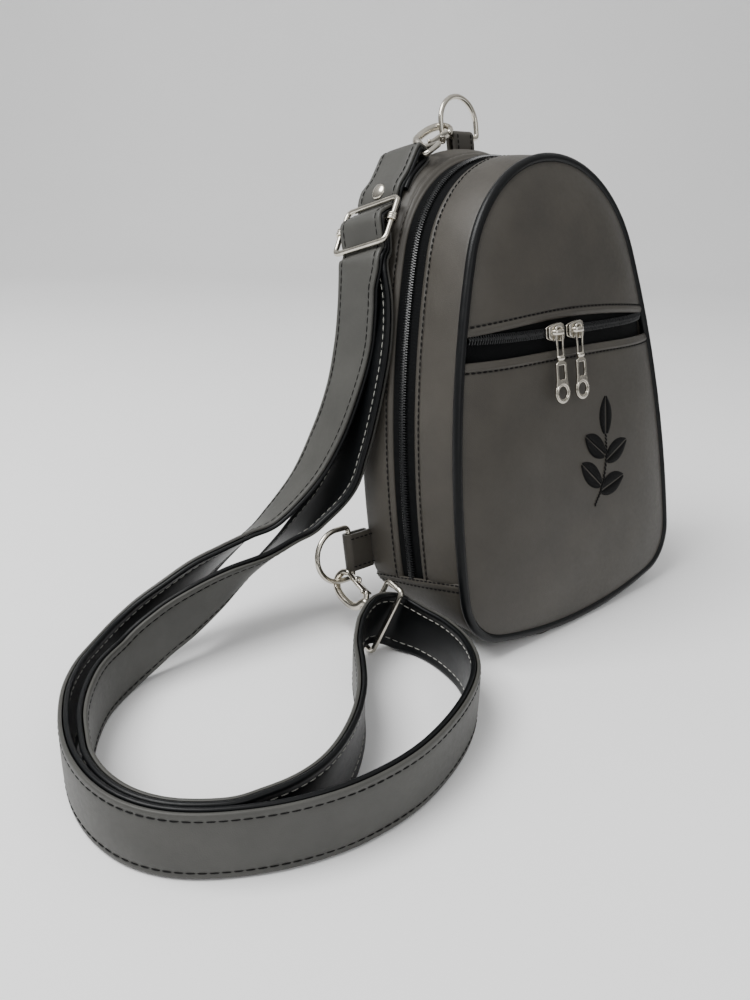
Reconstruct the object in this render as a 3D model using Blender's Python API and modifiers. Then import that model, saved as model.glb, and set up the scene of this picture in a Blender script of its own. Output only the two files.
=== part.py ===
"""Small upright sling bag in leatherette: zipped main compartment, zipped front pocket,
two ring tabs and a detachable, adjustable shoulder strap that lies looped beside the bag.

Lengths are in millimetres and are turned into metres where a mesh is made.
The origin is under the middle of the bag's base, +X is the wearer's right when the bag is
seen from the front, the front faces -Y and +Z is up.  The bag leans back as it stands:
every slice of it is drawn upright and then sheared by LEAN.
"""
import math

import bmesh
import bpy
from mathutils import Matrix, Vector

MM = 0.001
GAP = 0.35                  # running gap between neighbouring pieces

# ---- driving dimensions of the bag -----------------------------------------------------
LEAN = 0.215                # backward drift per unit of height
TOP_Z = 247.5               # piping centre line at the top
BOTTOM_Z = 2.5              # piping centre line at the bottom
TOP_RADIUS = 70.0
HALF_WIDTH = 91.5           # piping centre line at the widest height
WIDEST_Z = 49.0
CORNER_RADIUS = 27.0
BOTTOM_RADIUS = 310.0
FLAT_HALF = 30.0            # half width of the flat stretch of the base
FRONT_Y = -37.0             # plane of the front piping
BACK_Y = 37.0               # plane of the back seam
PIPING_RADIUS = 2.5
PANEL_INSET = 3.9           # front panels end this far inside the piping line
SKIN = 1.8                  # leatherette with its backing
FRONT_BULGE = 8.0
BACK_BULGE = 2.5
SEAM_Z = 34.0               # cross seam between the zipped gusset and the base gusset

# ---- zips ------------------------------------------------------------------------------
ZIP_Y = 2.6                 # plane of the main zip's teeth
TAPE_VISIBLE = 9.3          # tape seen on each side of the teeth
TAPE_THICK = 0.9
COIL_WIDTH = 2.5            # one half of the coil
COIL_HEIGHT = 2.1
COIL_OUT = 0.4              # the main coil stands this far out of the leather
POCKET_COIL_HEIGHT = 1.8
POCKET_Z = 163.0            # line of the pocket zip's teeth
POCKET_LOW = 152.2          # top edge of the lower front panel
POCKET_HIGH = 169.5         # bottom edge of the upper front panel
POCKET_TUCK = 2.5           # the pocket tapes reach this far behind the panels
POCKET_ARC = 600.0          # the pocket zip bows forward on this radius
SLIDER_LENGTH = 12.0
SLIDER_WIDTH = 9.4
SLIDER_HEIGHT = 3.2
LINK_RADIUS = 0.75
LINK_TOP = 2.0              # top of the link above the slider's middle
LINK_SHARE = 0.4            # part of the pull's length that is link
SLIDER_X = (-20.0, -3.5)    # the two pocket sliders, head to head
MAIN_SLIDER_Z = 56.0        # the main slider is parked low on the right side
PULL_WIDTH = 6.4
PULL_REACH = 38.0           # link and pull tab together
PULL_THICK = 1.2
PULL_HOLE = 2.9
TAB_WIDTH = 10.5

# ---- hardware --------------------------------------------------------------------------
WIRE = 1.5                  # radius of ring, loop and slider wire
RING_HALF = 14.5            # D-ring, half width on its centre line
RING_STRAIGHT = 8.0
TOP_RING = Vector((10.0, 92.0, 257.8))
LOWER_RING = Vector((-105.5, 45.8, 40.6))
TAB_THICK = 1.6
HOOK_REACH = 23.3           # hook base to the point where the ring's wire sits
TOP_HOOK_LOOP = Vector((-38.6, 87.0, 244.1))
LOWER_HOOK_LOOP = Vector((-115.7, 2.5, 18.9))
LOOP_DEPTH = 12.0
LEVER_HINGE = (-4.1, 4.6, 0.0)  # where a hook's lever turns, in the hook's own plane

# ---- strap -----------------------------------------------------------------------------
STRAP_WIDTH = 29.0
FACE_THICK = 1.8
LINING_THICK = 1.4
LAYER_GAP = 0.6
SLIDER_CENTRE = Vector((-72.5, 77.5, 211.0))
SLIDER_HALF_WIDTH = 18.5
SLIDER_HALF_HEIGHT = 14.0

GREY = (0.115, 0.108, 0.094)
DARK_GREY = (0.062, 0.060, 0.055)
BLACK = (0.012, 0.014, 0.016)
NICKEL = (0.62, 0.58, 0.52)


# ---- scene helpers ---------------------------------------------------------------------
def clear_scene():
    """Remove whatever objects the scene starts with."""
    for item in list(bpy.data.objects):
        bpy.data.objects.remove(item, do_unlink=True)


def material(name, colour, roughness, metallic=0.0):
    """A Principled material, made once for each name."""
    found = bpy.data.materials.get(name)
    if found:
        return found
    made = bpy.data.materials.new(name)
    made.use_nodes = True
    shader = made.node_tree.nodes["Principled BSDF"]
    shader.inputs["Base Color"].default_value = (*colour, 1.0)
    shader.inputs["Roughness"].default_value = roughness
    shader.inputs["Metallic"].default_value = metallic
    made.diffuse_color = (*colour, 1.0)
    return made


def leather():
    return material("grey_leatherette", GREY, 0.5)


def black_leather():
    return material("black_leatherette", BLACK, 0.45)


def tape_cloth():
    return material("black_tape", BLACK, 0.85)


def coil_nylon():
    return material("black_coil", BLACK, 0.35)


def nickel():
    return material("nickel", NICKEL, 0.22, 1.0)


def add_object(name, bm, look, parts, smooth_angle=35.0):
    """Turn a bmesh into a named object with one material."""
    mesh = bpy.data.meshes.new(name)
    bm.to_mesh(mesh)
    bm.free()
    made = bpy.data.objects.new(name, mesh)
    parts.objects.link(made)
    mesh.materials.append(look)
    mesh.shade_smooth()
    mesh.set_sharp_from_angle(angle=math.radians(smooth_angle))
    return made


def thicken(piece, thick, side):
    """Give an open surface its thickness, on the side its faces look to (1) or behind (-1)."""
    solid = piece.modifiers.new("thickness", "SOLIDIFY")
    solid.thickness = thick * MM
    solid.offset = side
    return piece


def face_towards(bm, direction):
    """Turn an open surface so that its farthest face along a direction looks that way."""
    bmesh.ops.recalc_face_normals(bm, faces=bm.faces)
    bm.normal_update()
    farthest = max(bm.faces, key=lambda face: face.calc_center_median().dot(Vector(direction)))
    if farthest.normal.dot(Vector(direction)) < 0:
        bmesh.ops.reverse_faces(bm, faces=bm.faces)


def lean(x, y, z):
    """A point of the upright bag, in metres, after the bag leans back."""
    return Vector((x, y + LEAN * z, z)) * MM


# ---- the bag's outline -----------------------------------------------------------------
def outline_arcs():
    """Centres and end angles of the tangent arcs that make the right half."""
    rise = TOP_Z - TOP_RADIUS - WIDEST_Z
    side_radius = (HALF_WIDTH ** 2 + rise ** 2 - TOP_RADIUS ** 2) / (2 * (HALF_WIDTH - TOP_RADIUS))
    top = Vector((0.0, TOP_Z - TOP_RADIUS))
    side = Vector((HALF_WIDTH - side_radius, WIDEST_Z))
    base = Vector((0.0, BOTTOM_Z + BOTTOM_RADIUS))
    to_side = side_radius - CORNER_RADIUS
    to_base = BOTTOM_RADIUS - CORNER_RADIUS
    between = base - side
    reach = (to_side ** 2 - to_base ** 2 + between.length_squared) / (2 * between.length)
    along = between.normalized()
    across = Vector((along.y, -along.x))
    corner = side + along * reach + across * math.sqrt(to_side ** 2 - reach ** 2)
    shoulder = math.atan2(top.y - side.y, top.x - side.x)
    hip = math.atan2(corner.y - side.y, corner.x - side.x)
    heel = math.atan2(corner.y - base.y, corner.x - base.x)
    return [(top, TOP_RADIUS, math.pi / 2, shoulder, 11),
            (side, side_radius, shoulder, hip, 9),
            (corner, CORNER_RADIUS, hip, heel, 8),
            (base, BOTTOM_RADIUS, heel, -math.pi / 2, 5)]


def right_half(offset=0.0):
    """Points of the right half, from the top middle to the bottom middle."""
    points = []
    for centre, radius, start, end, steps in outline_arcs():
        first = 1 if points else 0
        for step in range(first, steps + 1):
            angle = start + (end - start) * step / steps
            spoke = Vector((math.cos(angle), math.sin(angle)))
            points.append(centre + spoke * (radius + offset))
    points[0].x = 0.0
    points[-1].x = 0.0
    return points


def whole_outline(offset=0.0):
    """The closed outline, clockwise from the top as seen from the front."""
    right = right_half(offset)
    left = [Vector((-p.x, p.y)) for p in reversed(right[1:-1])]
    return right + left


def half_width(z, offset=0.0):
    """Half the outline's width at a height."""
    points = right_half(offset)
    if z >= points[0].y or z <= points[-1].y:
        return 0.0
    for above, below in zip(points, points[1:]):
        if below.y <= z <= above.y:
            share = (above.y - z) / max(above.y - below.y, 1e-9)
            return above.x + (below.x - above.x) * share
    return 0.0


def side_points(offset, low_z):
    """Outline from the right seam over the top to the left seam, above a height."""
    right = [p for p in right_half(offset) if p.y > low_z + 1.0]
    seam = Vector((half_width(low_z, offset), low_z))
    right.append(seam)
    left = [Vector((-p.x, p.y)) for p in right[1:]]
    return list(reversed(right)) + left


def base_points(high_z):
    """Outline from the right seam under the bag to the left seam.

    The base swells past the outline until it is level with the piping, and is flat in the
    middle.
    """
    right = [Vector((half_width(high_z), high_z))]
    for centre, radius, start, end, steps in outline_arcs()[1:]:
        for step in range(1, steps + 1):
            angle = start + (end - start) * step / steps
            spoke = Vector((math.cos(angle), math.sin(angle)))
            point = centre + spoke * radius
            if point.y > high_z - 2.5 or point.x < FLAT_HALF + 8.0:
                continue
            swell = PIPING_RADIUS * min((high_z - point.y) / (high_z - 6.0), 1.0)
            right.append(point + spoke * swell)
    right.append(Vector((FLAT_HALF, BOTTOM_Z - PIPING_RADIUS)))
    return right + [Vector((-p.x, p.y)) for p in reversed(right)]


# ---- soft shells of the bag ------------------------------------------------------------
def swept_band(name, points, y_front, y_back, thick, look, parts):
    """A band along part of the outline, from one slice of the bag to another."""
    bm = bmesh.new()
    edge = [bm.verts.new(lean(p.x, y_front, p.y)) for p in points]
    edges = [bm.edges.new(pair) for pair in zip(edge, edge[1:])]
    swept = bmesh.ops.extrude_edge_only(bm, edges=edges)["geom"]
    far = [item for item in swept if isinstance(item, bmesh.types.BMVert)]
    bmesh.ops.translate(bm, verts=far, vec=(0.0, (y_back - y_front) * MM, 0.0))
    middle = points[len(points) // 2].y
    face_towards(bm, (0, 0, 1 if middle > WIDEST_Z else -1))
    made = thicken(add_object(name, bm, look, parts), thick, -1)
    made.modifiers["thickness"].use_even_offset = True


def zip_side_band(name, offset, thick, y_front, y_back, low_z, look, parts):
    """A band that follows the zipped side of the bag."""
    swept_band(name, side_points(offset, low_z), y_front, y_back, thick, look, parts)


def swell_share(across, upright):
    """How much of the full bulge a panel has at a place, 0 at its edge."""
    return (1 - min(abs(across), 1.0) ** 4) * (1 - min(abs(upright), 1.0) ** 6)


def panel_sheet(name, y_face, bulge, edge, z_low, z_high, rows, columns, look, parts):
    """A bulged panel that fills the outline between two heights."""
    top = right_half(edge)[0].y
    bottom = right_half(edge)[-1].y
    middle = (top + bottom) / 2
    low = max(z_low, bottom)
    high = min(z_high, top)
    sign = -1.0 if bulge > 0 else 1.0
    bm = bmesh.new()
    bmesh.ops.create_grid(bm, x_segments=columns, y_segments=rows, size=1.0)
    for vert in bm.verts:
        share = (vert.co.y + 1.0) / 2.0
        if high == top:
            share = math.sin(share * math.pi / 2)
        if low == bottom:
            share = 1 - math.cos(share * math.pi / 2)
        z = low + (high - low) * share
        across = math.sin(vert.co.x * math.pi / 2)
        upright = (z - middle) / (top - middle)
        y = y_face + sign * abs(bulge) * swell_share(across, upright)
        vert.co = lean(across * half_width(z, edge), y, z)
    bmesh.ops.remove_doubles(bm, verts=bm.verts, dist=0.02 * MM)
    face_towards(bm, (0, sign, 0))
    thicken(add_object(name, bm, look, parts), SKIN, 1)


def bow_y(x):
    """Outer face of the pocket zip's tape at a place across the bag."""
    arc = FRONT_Y - FRONT_BULGE + GAP + POCKET_ARC - math.sqrt(POCKET_ARC ** 2 - x ** 2)
    middle = (TOP_Z + BOTTOM_Z) / 2
    edge_z = POCKET_HIGH + POCKET_TUCK
    upright = (edge_z - middle) / (middle - BOTTOM_Z - PANEL_INSET)
    across = x / half_width(edge_z, -PANEL_INSET)
    panel = FRONT_Y - FRONT_BULGE * swell_share(across, upright) + GAP + 0.3
    return max(arc, panel)


def bowed_strip(name, z_low, z_high, depth_in, thick, reach, look, parts):
    """A strip that lies along the pocket zip's bow."""
    bm = bmesh.new()
    bmesh.ops.create_grid(bm, x_segments=16, y_segments=1, size=1.0)
    for vert in bm.verts:
        x = vert.co.x * reach
        z = z_high if vert.co.y > 0 else z_low
        vert.co = lean(x, bow_y(x) + depth_in, z)
    face_towards(bm, (0, -1, 0))
    thicken(add_object(name, bm, look, parts), thick, -1)


def make_front(parts):
    """Everything that swings open with the front of the bag."""
    inside = -PANEL_INSET
    panel_sheet("front_panel_lower", FRONT_Y, FRONT_BULGE, inside, 0.0, POCKET_LOW, 12, 14,
                leather(), parts)
    panel_sheet("front_panel_upper", FRONT_Y, FRONT_BULGE, inside, POCKET_HIGH, 300.0, 9, 14,
                leather(), parts)
    reach = half_width(POCKET_HIGH + POCKET_TUCK, inside) - 0.5
    bowed_strip("pocket_zip_tape_lower", POCKET_LOW - POCKET_TUCK, POCKET_Z - GAP, 0.0,
                TAPE_THICK, reach, tape_cloth(), parts)
    bowed_strip("pocket_zip_tape_upper", POCKET_Z + GAP, POCKET_HIGH + POCKET_TUCK, 0.0,
                TAPE_THICK, reach, tape_cloth(), parts)
    bowed_strip("pocket_zip_coil", POCKET_Z - COIL_WIDTH, POCKET_Z + COIL_WIDTH,
                -GAP - 0.2 - POCKET_COIL_HEIGHT, POCKET_COIL_HEIGHT, reach - 2.0, coil_nylon(), parts)
    panel_sheet("pocket_lining", FRONT_Y + PIPING_RADIUS + 1.0 + SKIN, 0.0, -5.2, 0.0, 300.0, 9, 4,
                tape_cloth(), parts)
    make_piping(parts)
    strip_back = ZIP_Y - TAPE_VISIBLE
    zip_side_band("front_gusset", 0.0, SKIN, FRONT_Y + PIPING_RADIUS + GAP, strip_back, SEAM_Z,
                  leather(), parts)
    zip_side_band("main_zip_tape_front", -SKIN - GAP - 0.1, TAPE_THICK, strip_back - 6.0, ZIP_Y - GAP,
                  SEAM_Z, tape_cloth(), parts)
    zip_side_band("main_zip_coil_front", COIL_OUT, COIL_HEIGHT, ZIP_Y - GAP / 2 - COIL_WIDTH,
                  ZIP_Y - GAP / 2, SEAM_Z + 2.0, coil_nylon(), parts)


def make_piping(parts):
    """The black piping in the seam round the front panel."""
    curve = bpy.data.curves.new("front_piping", "CURVE")
    curve.dimensions = "3D"
    curve.bevel_depth = PIPING_RADIUS * MM
    curve.bevel_resolution = 2
    spline = curve.splines.new("POLY")
    points = whole_outline()
    spline.points.add(len(points) - 1)
    for place, point in zip(spline.points, points):
        place.co = (*lean(point.x, FRONT_Y, point.y), 1.0)
    spline.use_cyclic_u = True
    made = bpy.data.objects.new("front_piping", curve)
    curve.materials.append(black_leather())
    parts.objects.link(made)


def make_back(parts):
    """Everything that stays with the back of the bag."""
    strip_front = ZIP_Y + TAPE_VISIBLE
    seam_y = BACK_Y - 1.5
    zip_side_band("back_gusset", 0.0, SKIN, strip_front, seam_y, SEAM_Z, leather(), parts)
    zip_side_band("main_zip_tape_back", -SKIN - GAP - 0.1, TAPE_THICK, ZIP_Y + GAP, strip_front + 6.0,
                  SEAM_Z, tape_cloth(), parts)
    zip_side_band("main_zip_coil_back", COIL_OUT, COIL_HEIGHT, ZIP_Y + GAP / 2,
                  ZIP_Y + GAP / 2 + COIL_WIDTH, SEAM_Z + 2.0, coil_nylon(), parts)
    swept_band("base_gusset", base_points(SEAM_Z - GAP), FRONT_Y + PIPING_RADIUS + 2 * GAP, seam_y, SKIN,
               leather(), parts)
    panel_sheet("back_panel", seam_y + 2 * GAP, -BACK_BULGE, 0.0, 0.0, 300.0, 22, 12, leather(), parts)
    panel_sheet("back_lining", seam_y - 2.5, 0.0, -5.2, 0.0, 300.0, 9, 4, tape_cloth(), parts)


# ---- small hardware --------------------------------------------------------------------
def meshed_curve(name, curve, look, parts, smooth_angle):
    """A curve turned into a welded mesh object."""
    guide = bpy.data.objects.new(name + "_guide", curve)
    parts.objects.link(guide)
    bpy.context.view_layer.update()
    graph = bpy.context.evaluated_depsgraph_get()
    mesh = bpy.data.meshes.new_from_object(guide.evaluated_get(graph))
    bpy.data.objects.remove(guide, do_unlink=True)
    bm = bmesh.new()
    bm.from_mesh(mesh)
    bmesh.ops.remove_doubles(bm, verts=bm.verts, dist=0.01 * MM)
    bmesh.ops.recalc_face_normals(bm, faces=bm.faces)
    return add_object(name, bm, look, parts, smooth_angle)


def wire(name, points, radius, closed, look, parts, resolution=2):
    """A bent wire along points in millimetres, as a welded mesh."""
    curve = bpy.data.curves.new(name, "CURVE")
    curve.dimensions = "3D"
    curve.bevel_depth = radius * MM
    curve.bevel_resolution = resolution
    curve.use_fill_caps = not closed
    spline = curve.splines.new("POLY")
    spline.points.add(len(points) - 1)
    for place, point in zip(spline.points, points):
        place.co = (*(Vector(point) * MM), 1.0)
    spline.use_cyclic_u = closed
    return meshed_curve(name, curve, look, parts, 50.0)


def block(name, size, bevel, place, look, parts):
    """A rounded block; place turns its own axes into the bag's."""
    bm = bmesh.new()
    bmesh.ops.create_cube(bm, size=1.0)
    for vert in bm.verts:
        vert.co = Vector((vert.co.x * size[0], vert.co.y * size[1], vert.co.z * size[2])) * MM
    bmesh.ops.bevel(bm, geom=list(bm.edges), offset=bevel * MM, segments=1, affect="EDGES")
    bmesh.ops.recalc_face_normals(bm, faces=bm.faces)
    made = add_object(name, bm, look, parts, 60.0)
    made.matrix_world = place
    return made


def frame_at(origin, x_axis, y_axis):
    """A placement with its origin in millimetres and its first two axes given."""
    first = Vector(x_axis).normalized()
    third = first.cross(Vector(y_axis)).normalized()
    second = third.cross(first)
    turned = Matrix((first, second, third)).transposed().to_4x4()
    return Matrix.Translation(Vector(origin) * MM) @ turned


def local_points(frame, points):
    """Points of a placement's own plane, in millimetres of the bag."""
    return [(frame @ (Vector(point) * MM)) / MM for point in points]


def arc_points(centre, radius, start, end, steps):
    """Points of an arc in a placement's own plane."""
    made = []
    for step in range(steps + 1):
        angle = math.radians(start + (end - start) * step / steps)
        made.append((centre[0] + radius * math.cos(angle), centre[1] + radius * math.sin(angle), 0.0))
    return made


def up_the_lean():
    """The direction that runs up the leaning bag."""
    return Vector((0.0, LEAN, 1.0)).normalized()


def ring_frame(name):
    """Placement of a D-ring: x along its straight bar, y out over its bow."""
    if name == "top":
        return frame_at(TOP_RING, (1, 0, 0), up_the_lean())
    return frame_at(LOWER_RING, up_the_lean(), (-1, 0.02, 0))


def make_ring(name, parts):
    """A D-ring whose straight bar lies in its tab."""
    points = [(-RING_HALF, 0.0, 0.0), (0.0, 0.0, 0.0), (RING_HALF, 0.0, 0.0)]
    points += arc_points((0.0, RING_STRAIGHT), RING_HALF, 0.0, 180.0, 14)
    wire(name + "_ring", local_points(ring_frame(name), points), WIRE, True, nickel(), parts)


def make_tab(name, length, root_gap, parts):
    """A leather tab folded round a ring's bar and sewn into the back seam."""
    inner = WIRE + GAP
    outer = inner + TAB_THICK
    profile = [(-root_gap, outer)]
    for radius, turns in ((outer, range(90, -91, -30)), (inner, range(-90, 91, 30))):
        if radius == inner:
            profile += [(-root_gap, -outer), (-root_gap, -inner)]
        for turn in turns:
            profile.append((radius * math.cos(math.radians(turn)), radius * math.sin(math.radians(turn))))
    profile.append((-root_gap, inner))
    curve = bpy.data.curves.new(name + "_tab", "CURVE")
    curve.dimensions = "2D"
    curve.fill_mode = "BOTH"
    curve.extrude = length / 2 * MM
    spline = curve.splines.new("POLY")
    spline.points.add(len(profile) - 1)
    for place, point in zip(spline.points, profile):
        place.co = (point[0] * MM, point[1] * MM, 0.0, 1.0)
    spline.use_cyclic_u = True
    made = meshed_curve(name + "_tab", curve, leather(), parts, 35.0)
    ring = ring_frame(name).to_3x3()
    out = ring @ Vector((0, 1, 0))
    side = ring @ Vector((0, 0, 1))
    made.matrix_world = frame_at(ring_frame(name).translation / MM, out, side)


def hook_frame(name):
    """Placement of a snap hook: y from its loop towards its nose, x across its jaws."""
    if name == "top":
        ring = ring_frame("top") @ (Vector((-RING_HALF, 3.6, 0.0)) * MM) / MM
        loop, across = TOP_HOOK_LOOP, Vector((-0.2, 0.88, 0.2))
    else:
        ring = ring_frame("lower") @ (Vector((-RING_HALF, 7.6, 0.0)) * MM) / MM
        loop, across = LOWER_HOOK_LOOP, Vector((-0.45, 0.0, -0.85))
    nose = (ring - loop).normalized()
    base = ring - nose * HOOK_REACH
    side = (across - nose * across.dot(nose)).normalized()
    return frame_at(base, side, nose)


def loop_frame(name):
    """Placement of a hook's strap loop: x along its bars, y towards the hook."""
    nose = hook_frame(name).to_3x3() @ Vector((0, 1, 0))
    if name == "top":
        origin, bar = TOP_HOOK_LOOP, Vector((-0.1, 1.0, -0.25))
    else:
        origin, bar = LOWER_HOOK_LOOP, Vector((0.36, -0.18, 0.91))
    return frame_at(origin, bar - nose * bar.dot(nose), nose)


def make_hook(name, parts):
    """A swivelling snap hook: strap loop, swivel collar, jaw and sprung lever."""
    loop = loop_frame(name)
    half = SLIDER_HALF_WIDTH
    corner = 2.0
    rounded = []
    for x, y, start in ((half, LOOP_DEPTH, 0), (-half, LOOP_DEPTH, 90), (-half, 0, 180), (half, 0, 270)):
        centre = (x - math.copysign(corner, x), y - corner if y else y + corner)
        rounded += arc_points(centre, corner, start, start + 90, 3)
    wire(name + "_hook_loop", local_points(loop, rounded), WIRE, True, nickel(), parts)
    hook = hook_frame(name)
    collar_low = -(hook.inverted() @ (loop @ (Vector((0, LOOP_DEPTH, 0)) * MM))).length / MM
    collar = [(0.0, collar_low + WIRE + GAP, 0.0), (0.0, -GAP, 0.0)]
    wire(name + "_hook_collar", local_points(hook, collar), 3.0, False, nickel(), parts)
    jaw = [(0.0, 0.1, 0.0), (0.0, 1.4, 0.0), (1.8, 2.9, 0.0), (4.6, 4.4, 0.0), (6.6, 7.4, 0.0), (7.2, 12.0, 0.0),
           (7.0, 17.0, 0.0), (6.2, 21.5, 0.0), (4.4, 25.0, 0.0), (1.6, 27.2, 0.0),
           (-1.6, 27.4, 0.0), (-4.4, 25.6, 0.0), (-5.8, 22.6, 0.0)]
    wire(name + "_hook_jaw", local_points(hook, jaw), 1.7, False, nickel(), parts)
    lever_middle = hook @ (Vector((-4.9, 12.4, 0.0)) * MM) / MM
    lever_along = hook.to_3x3() @ Vector((-0.11, 1.0, 0.0))
    lever_wide = hook.to_3x3() @ Vector((0, 0, 1))
    block(name + "_hook_lever", (5.4, 15.6, 1.9), 0.5,
          frame_at(lever_middle, lever_wide, lever_along), nickel(), parts)


def slider_frame():
    """Placement of the strap slider: x across the strap, y up along it, z outwards."""
    up = Vector((0.59, 0.32, 0.74))
    across = Vector((0.12, -0.96, 0.26))
    across = across - up * (across.dot(up) / up.length_squared)
    return frame_at(SLIDER_CENTRE, across, up)


def make_strap_slider(parts):
    """The rectangular strap slider and the bar across its middle."""
    frame = slider_frame()
    corner = 3.0
    outline = []
    for x, y, start in ((1, 1, 0), (-1, 1, 90), (-1, -1, 180), (1, -1, 270)):
        centre = (x * (SLIDER_HALF_WIDTH - corner), y * (SLIDER_HALF_HEIGHT - corner))
        outline += arc_points(centre, corner, start, start + 90, 3)
    wire("strap_slider_frame", local_points(frame, outline), WIRE, True, nickel(), parts)
    reach = SLIDER_HALF_WIDTH - WIRE - GAP
    wire("strap_slider_bar", local_points(frame, [(-reach, 0, 0), (reach, 0, 0)]), WIRE, False,
         nickel(), parts)


# ---- zip sliders -----------------------------------------------------------------------
def make_zip_slider(name, frame, size, reach, parts):
    """A zip slider with its link and ring-ended pull tab hanging down.

    The placement has y up and z out of the bag, and its origin on the coil.
    """
    body = frame @ Matrix.Translation(Vector((0, 0, GAP + SLIDER_HEIGHT / 2)) * MM)
    block(name + "_slider", (*size, SLIDER_HEIGHT), 1.0, body, nickel(), parts)
    out = GAP + SLIDER_HEIGHT + GAP + LINK_RADIUS
    low = LINK_TOP - reach * LINK_SHARE
    link = [(-2.0, LINK_TOP, out), (2.0, LINK_TOP, out), (2.4, low, out), (-2.4, low, out)]
    wire(name + "_link", local_points(frame, link), LINK_RADIUS, True, nickel(), parts)
    make_pull_tab(name + "_pull", frame, low - LINK_RADIUS - GAP, out, reach * (1 - LINK_SHARE), parts)


def make_pull_tab(name, frame, top, out, length, parts):
    """A flat pull tab with a slot near its top and a round finger hole."""
    curve = bpy.data.curves.new(name, "CURVE")
    curve.dimensions = "2D"
    curve.fill_mode = "BOTH"
    curve.extrude = PULL_THICK / 2 * MM
    eye = TAB_WIDTH / 2
    middle = top - length + eye
    narrow = PULL_WIDTH / 2 - 0.8
    outer = [(-narrow, top), (narrow, top), (PULL_WIDTH / 2, top - 1.6), (PULL_WIDTH / 2, middle + eye)]
    for step in range(13):
        angle = math.radians(35 - 250 * step / 12)
        outer.append((eye * math.cos(angle), middle + eye * math.sin(angle)))
    outer += [(-PULL_WIDTH / 2, middle + eye), (-PULL_WIDTH / 2, top - 1.6)]
    slot = [(-1.3, top - 6.5), (1.3, top - 6.5), (1.3, top - 1.8), (-1.3, top - 1.8)]
    hole = []
    for step in range(12):
        angle = math.radians(30 * step)
        hole.append((PULL_HOLE * math.cos(angle), middle + PULL_HOLE * math.sin(angle)))
    for loop in (outer, slot, hole):
        spline = curve.splines.new("POLY")
        spline.points.add(len(loop) - 1)
        for place, point in zip(spline.points, loop):
            place.co = (point[0] * MM, point[1] * MM, 0.0, 1.0)
        spline.use_cyclic_u = True
    made = meshed_curve(name, curve, nickel(), parts, 40.0)
    made.matrix_world = frame @ Matrix.Translation(Vector((0, 0, out)) * MM)


def pocket_slider_frame(x):
    """Placement of a pocket slider at a place across the bag."""
    turn = math.asin(x / POCKET_ARC)
    along = Vector((math.cos(turn), math.sin(turn), 0.0))
    origin = Vector((x, bow_y(x) - GAP - 0.2 - POCKET_COIL_HEIGHT + LEAN * POCKET_Z, POCKET_Z))
    return frame_at(origin, along, up_the_lean())


def main_slider_frame():
    """Placement of the main slider on the lower right side."""
    side, radius = outline_arcs()[1][:2]
    angle = math.asin((MAIN_SLIDER_Z - side.y) / radius)
    out = Vector((math.cos(angle), 0.0, math.sin(angle)))
    up = Vector((-math.sin(angle), LEAN * math.cos(angle), math.cos(angle))).normalized()
    x = side.x + (radius + COIL_OUT) * math.cos(angle)
    z = side.y + (radius + COIL_OUT) * math.sin(angle)
    return frame_at(Vector((x, ZIP_Y + LEAN * z, z)), up.cross(out), up)


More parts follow.
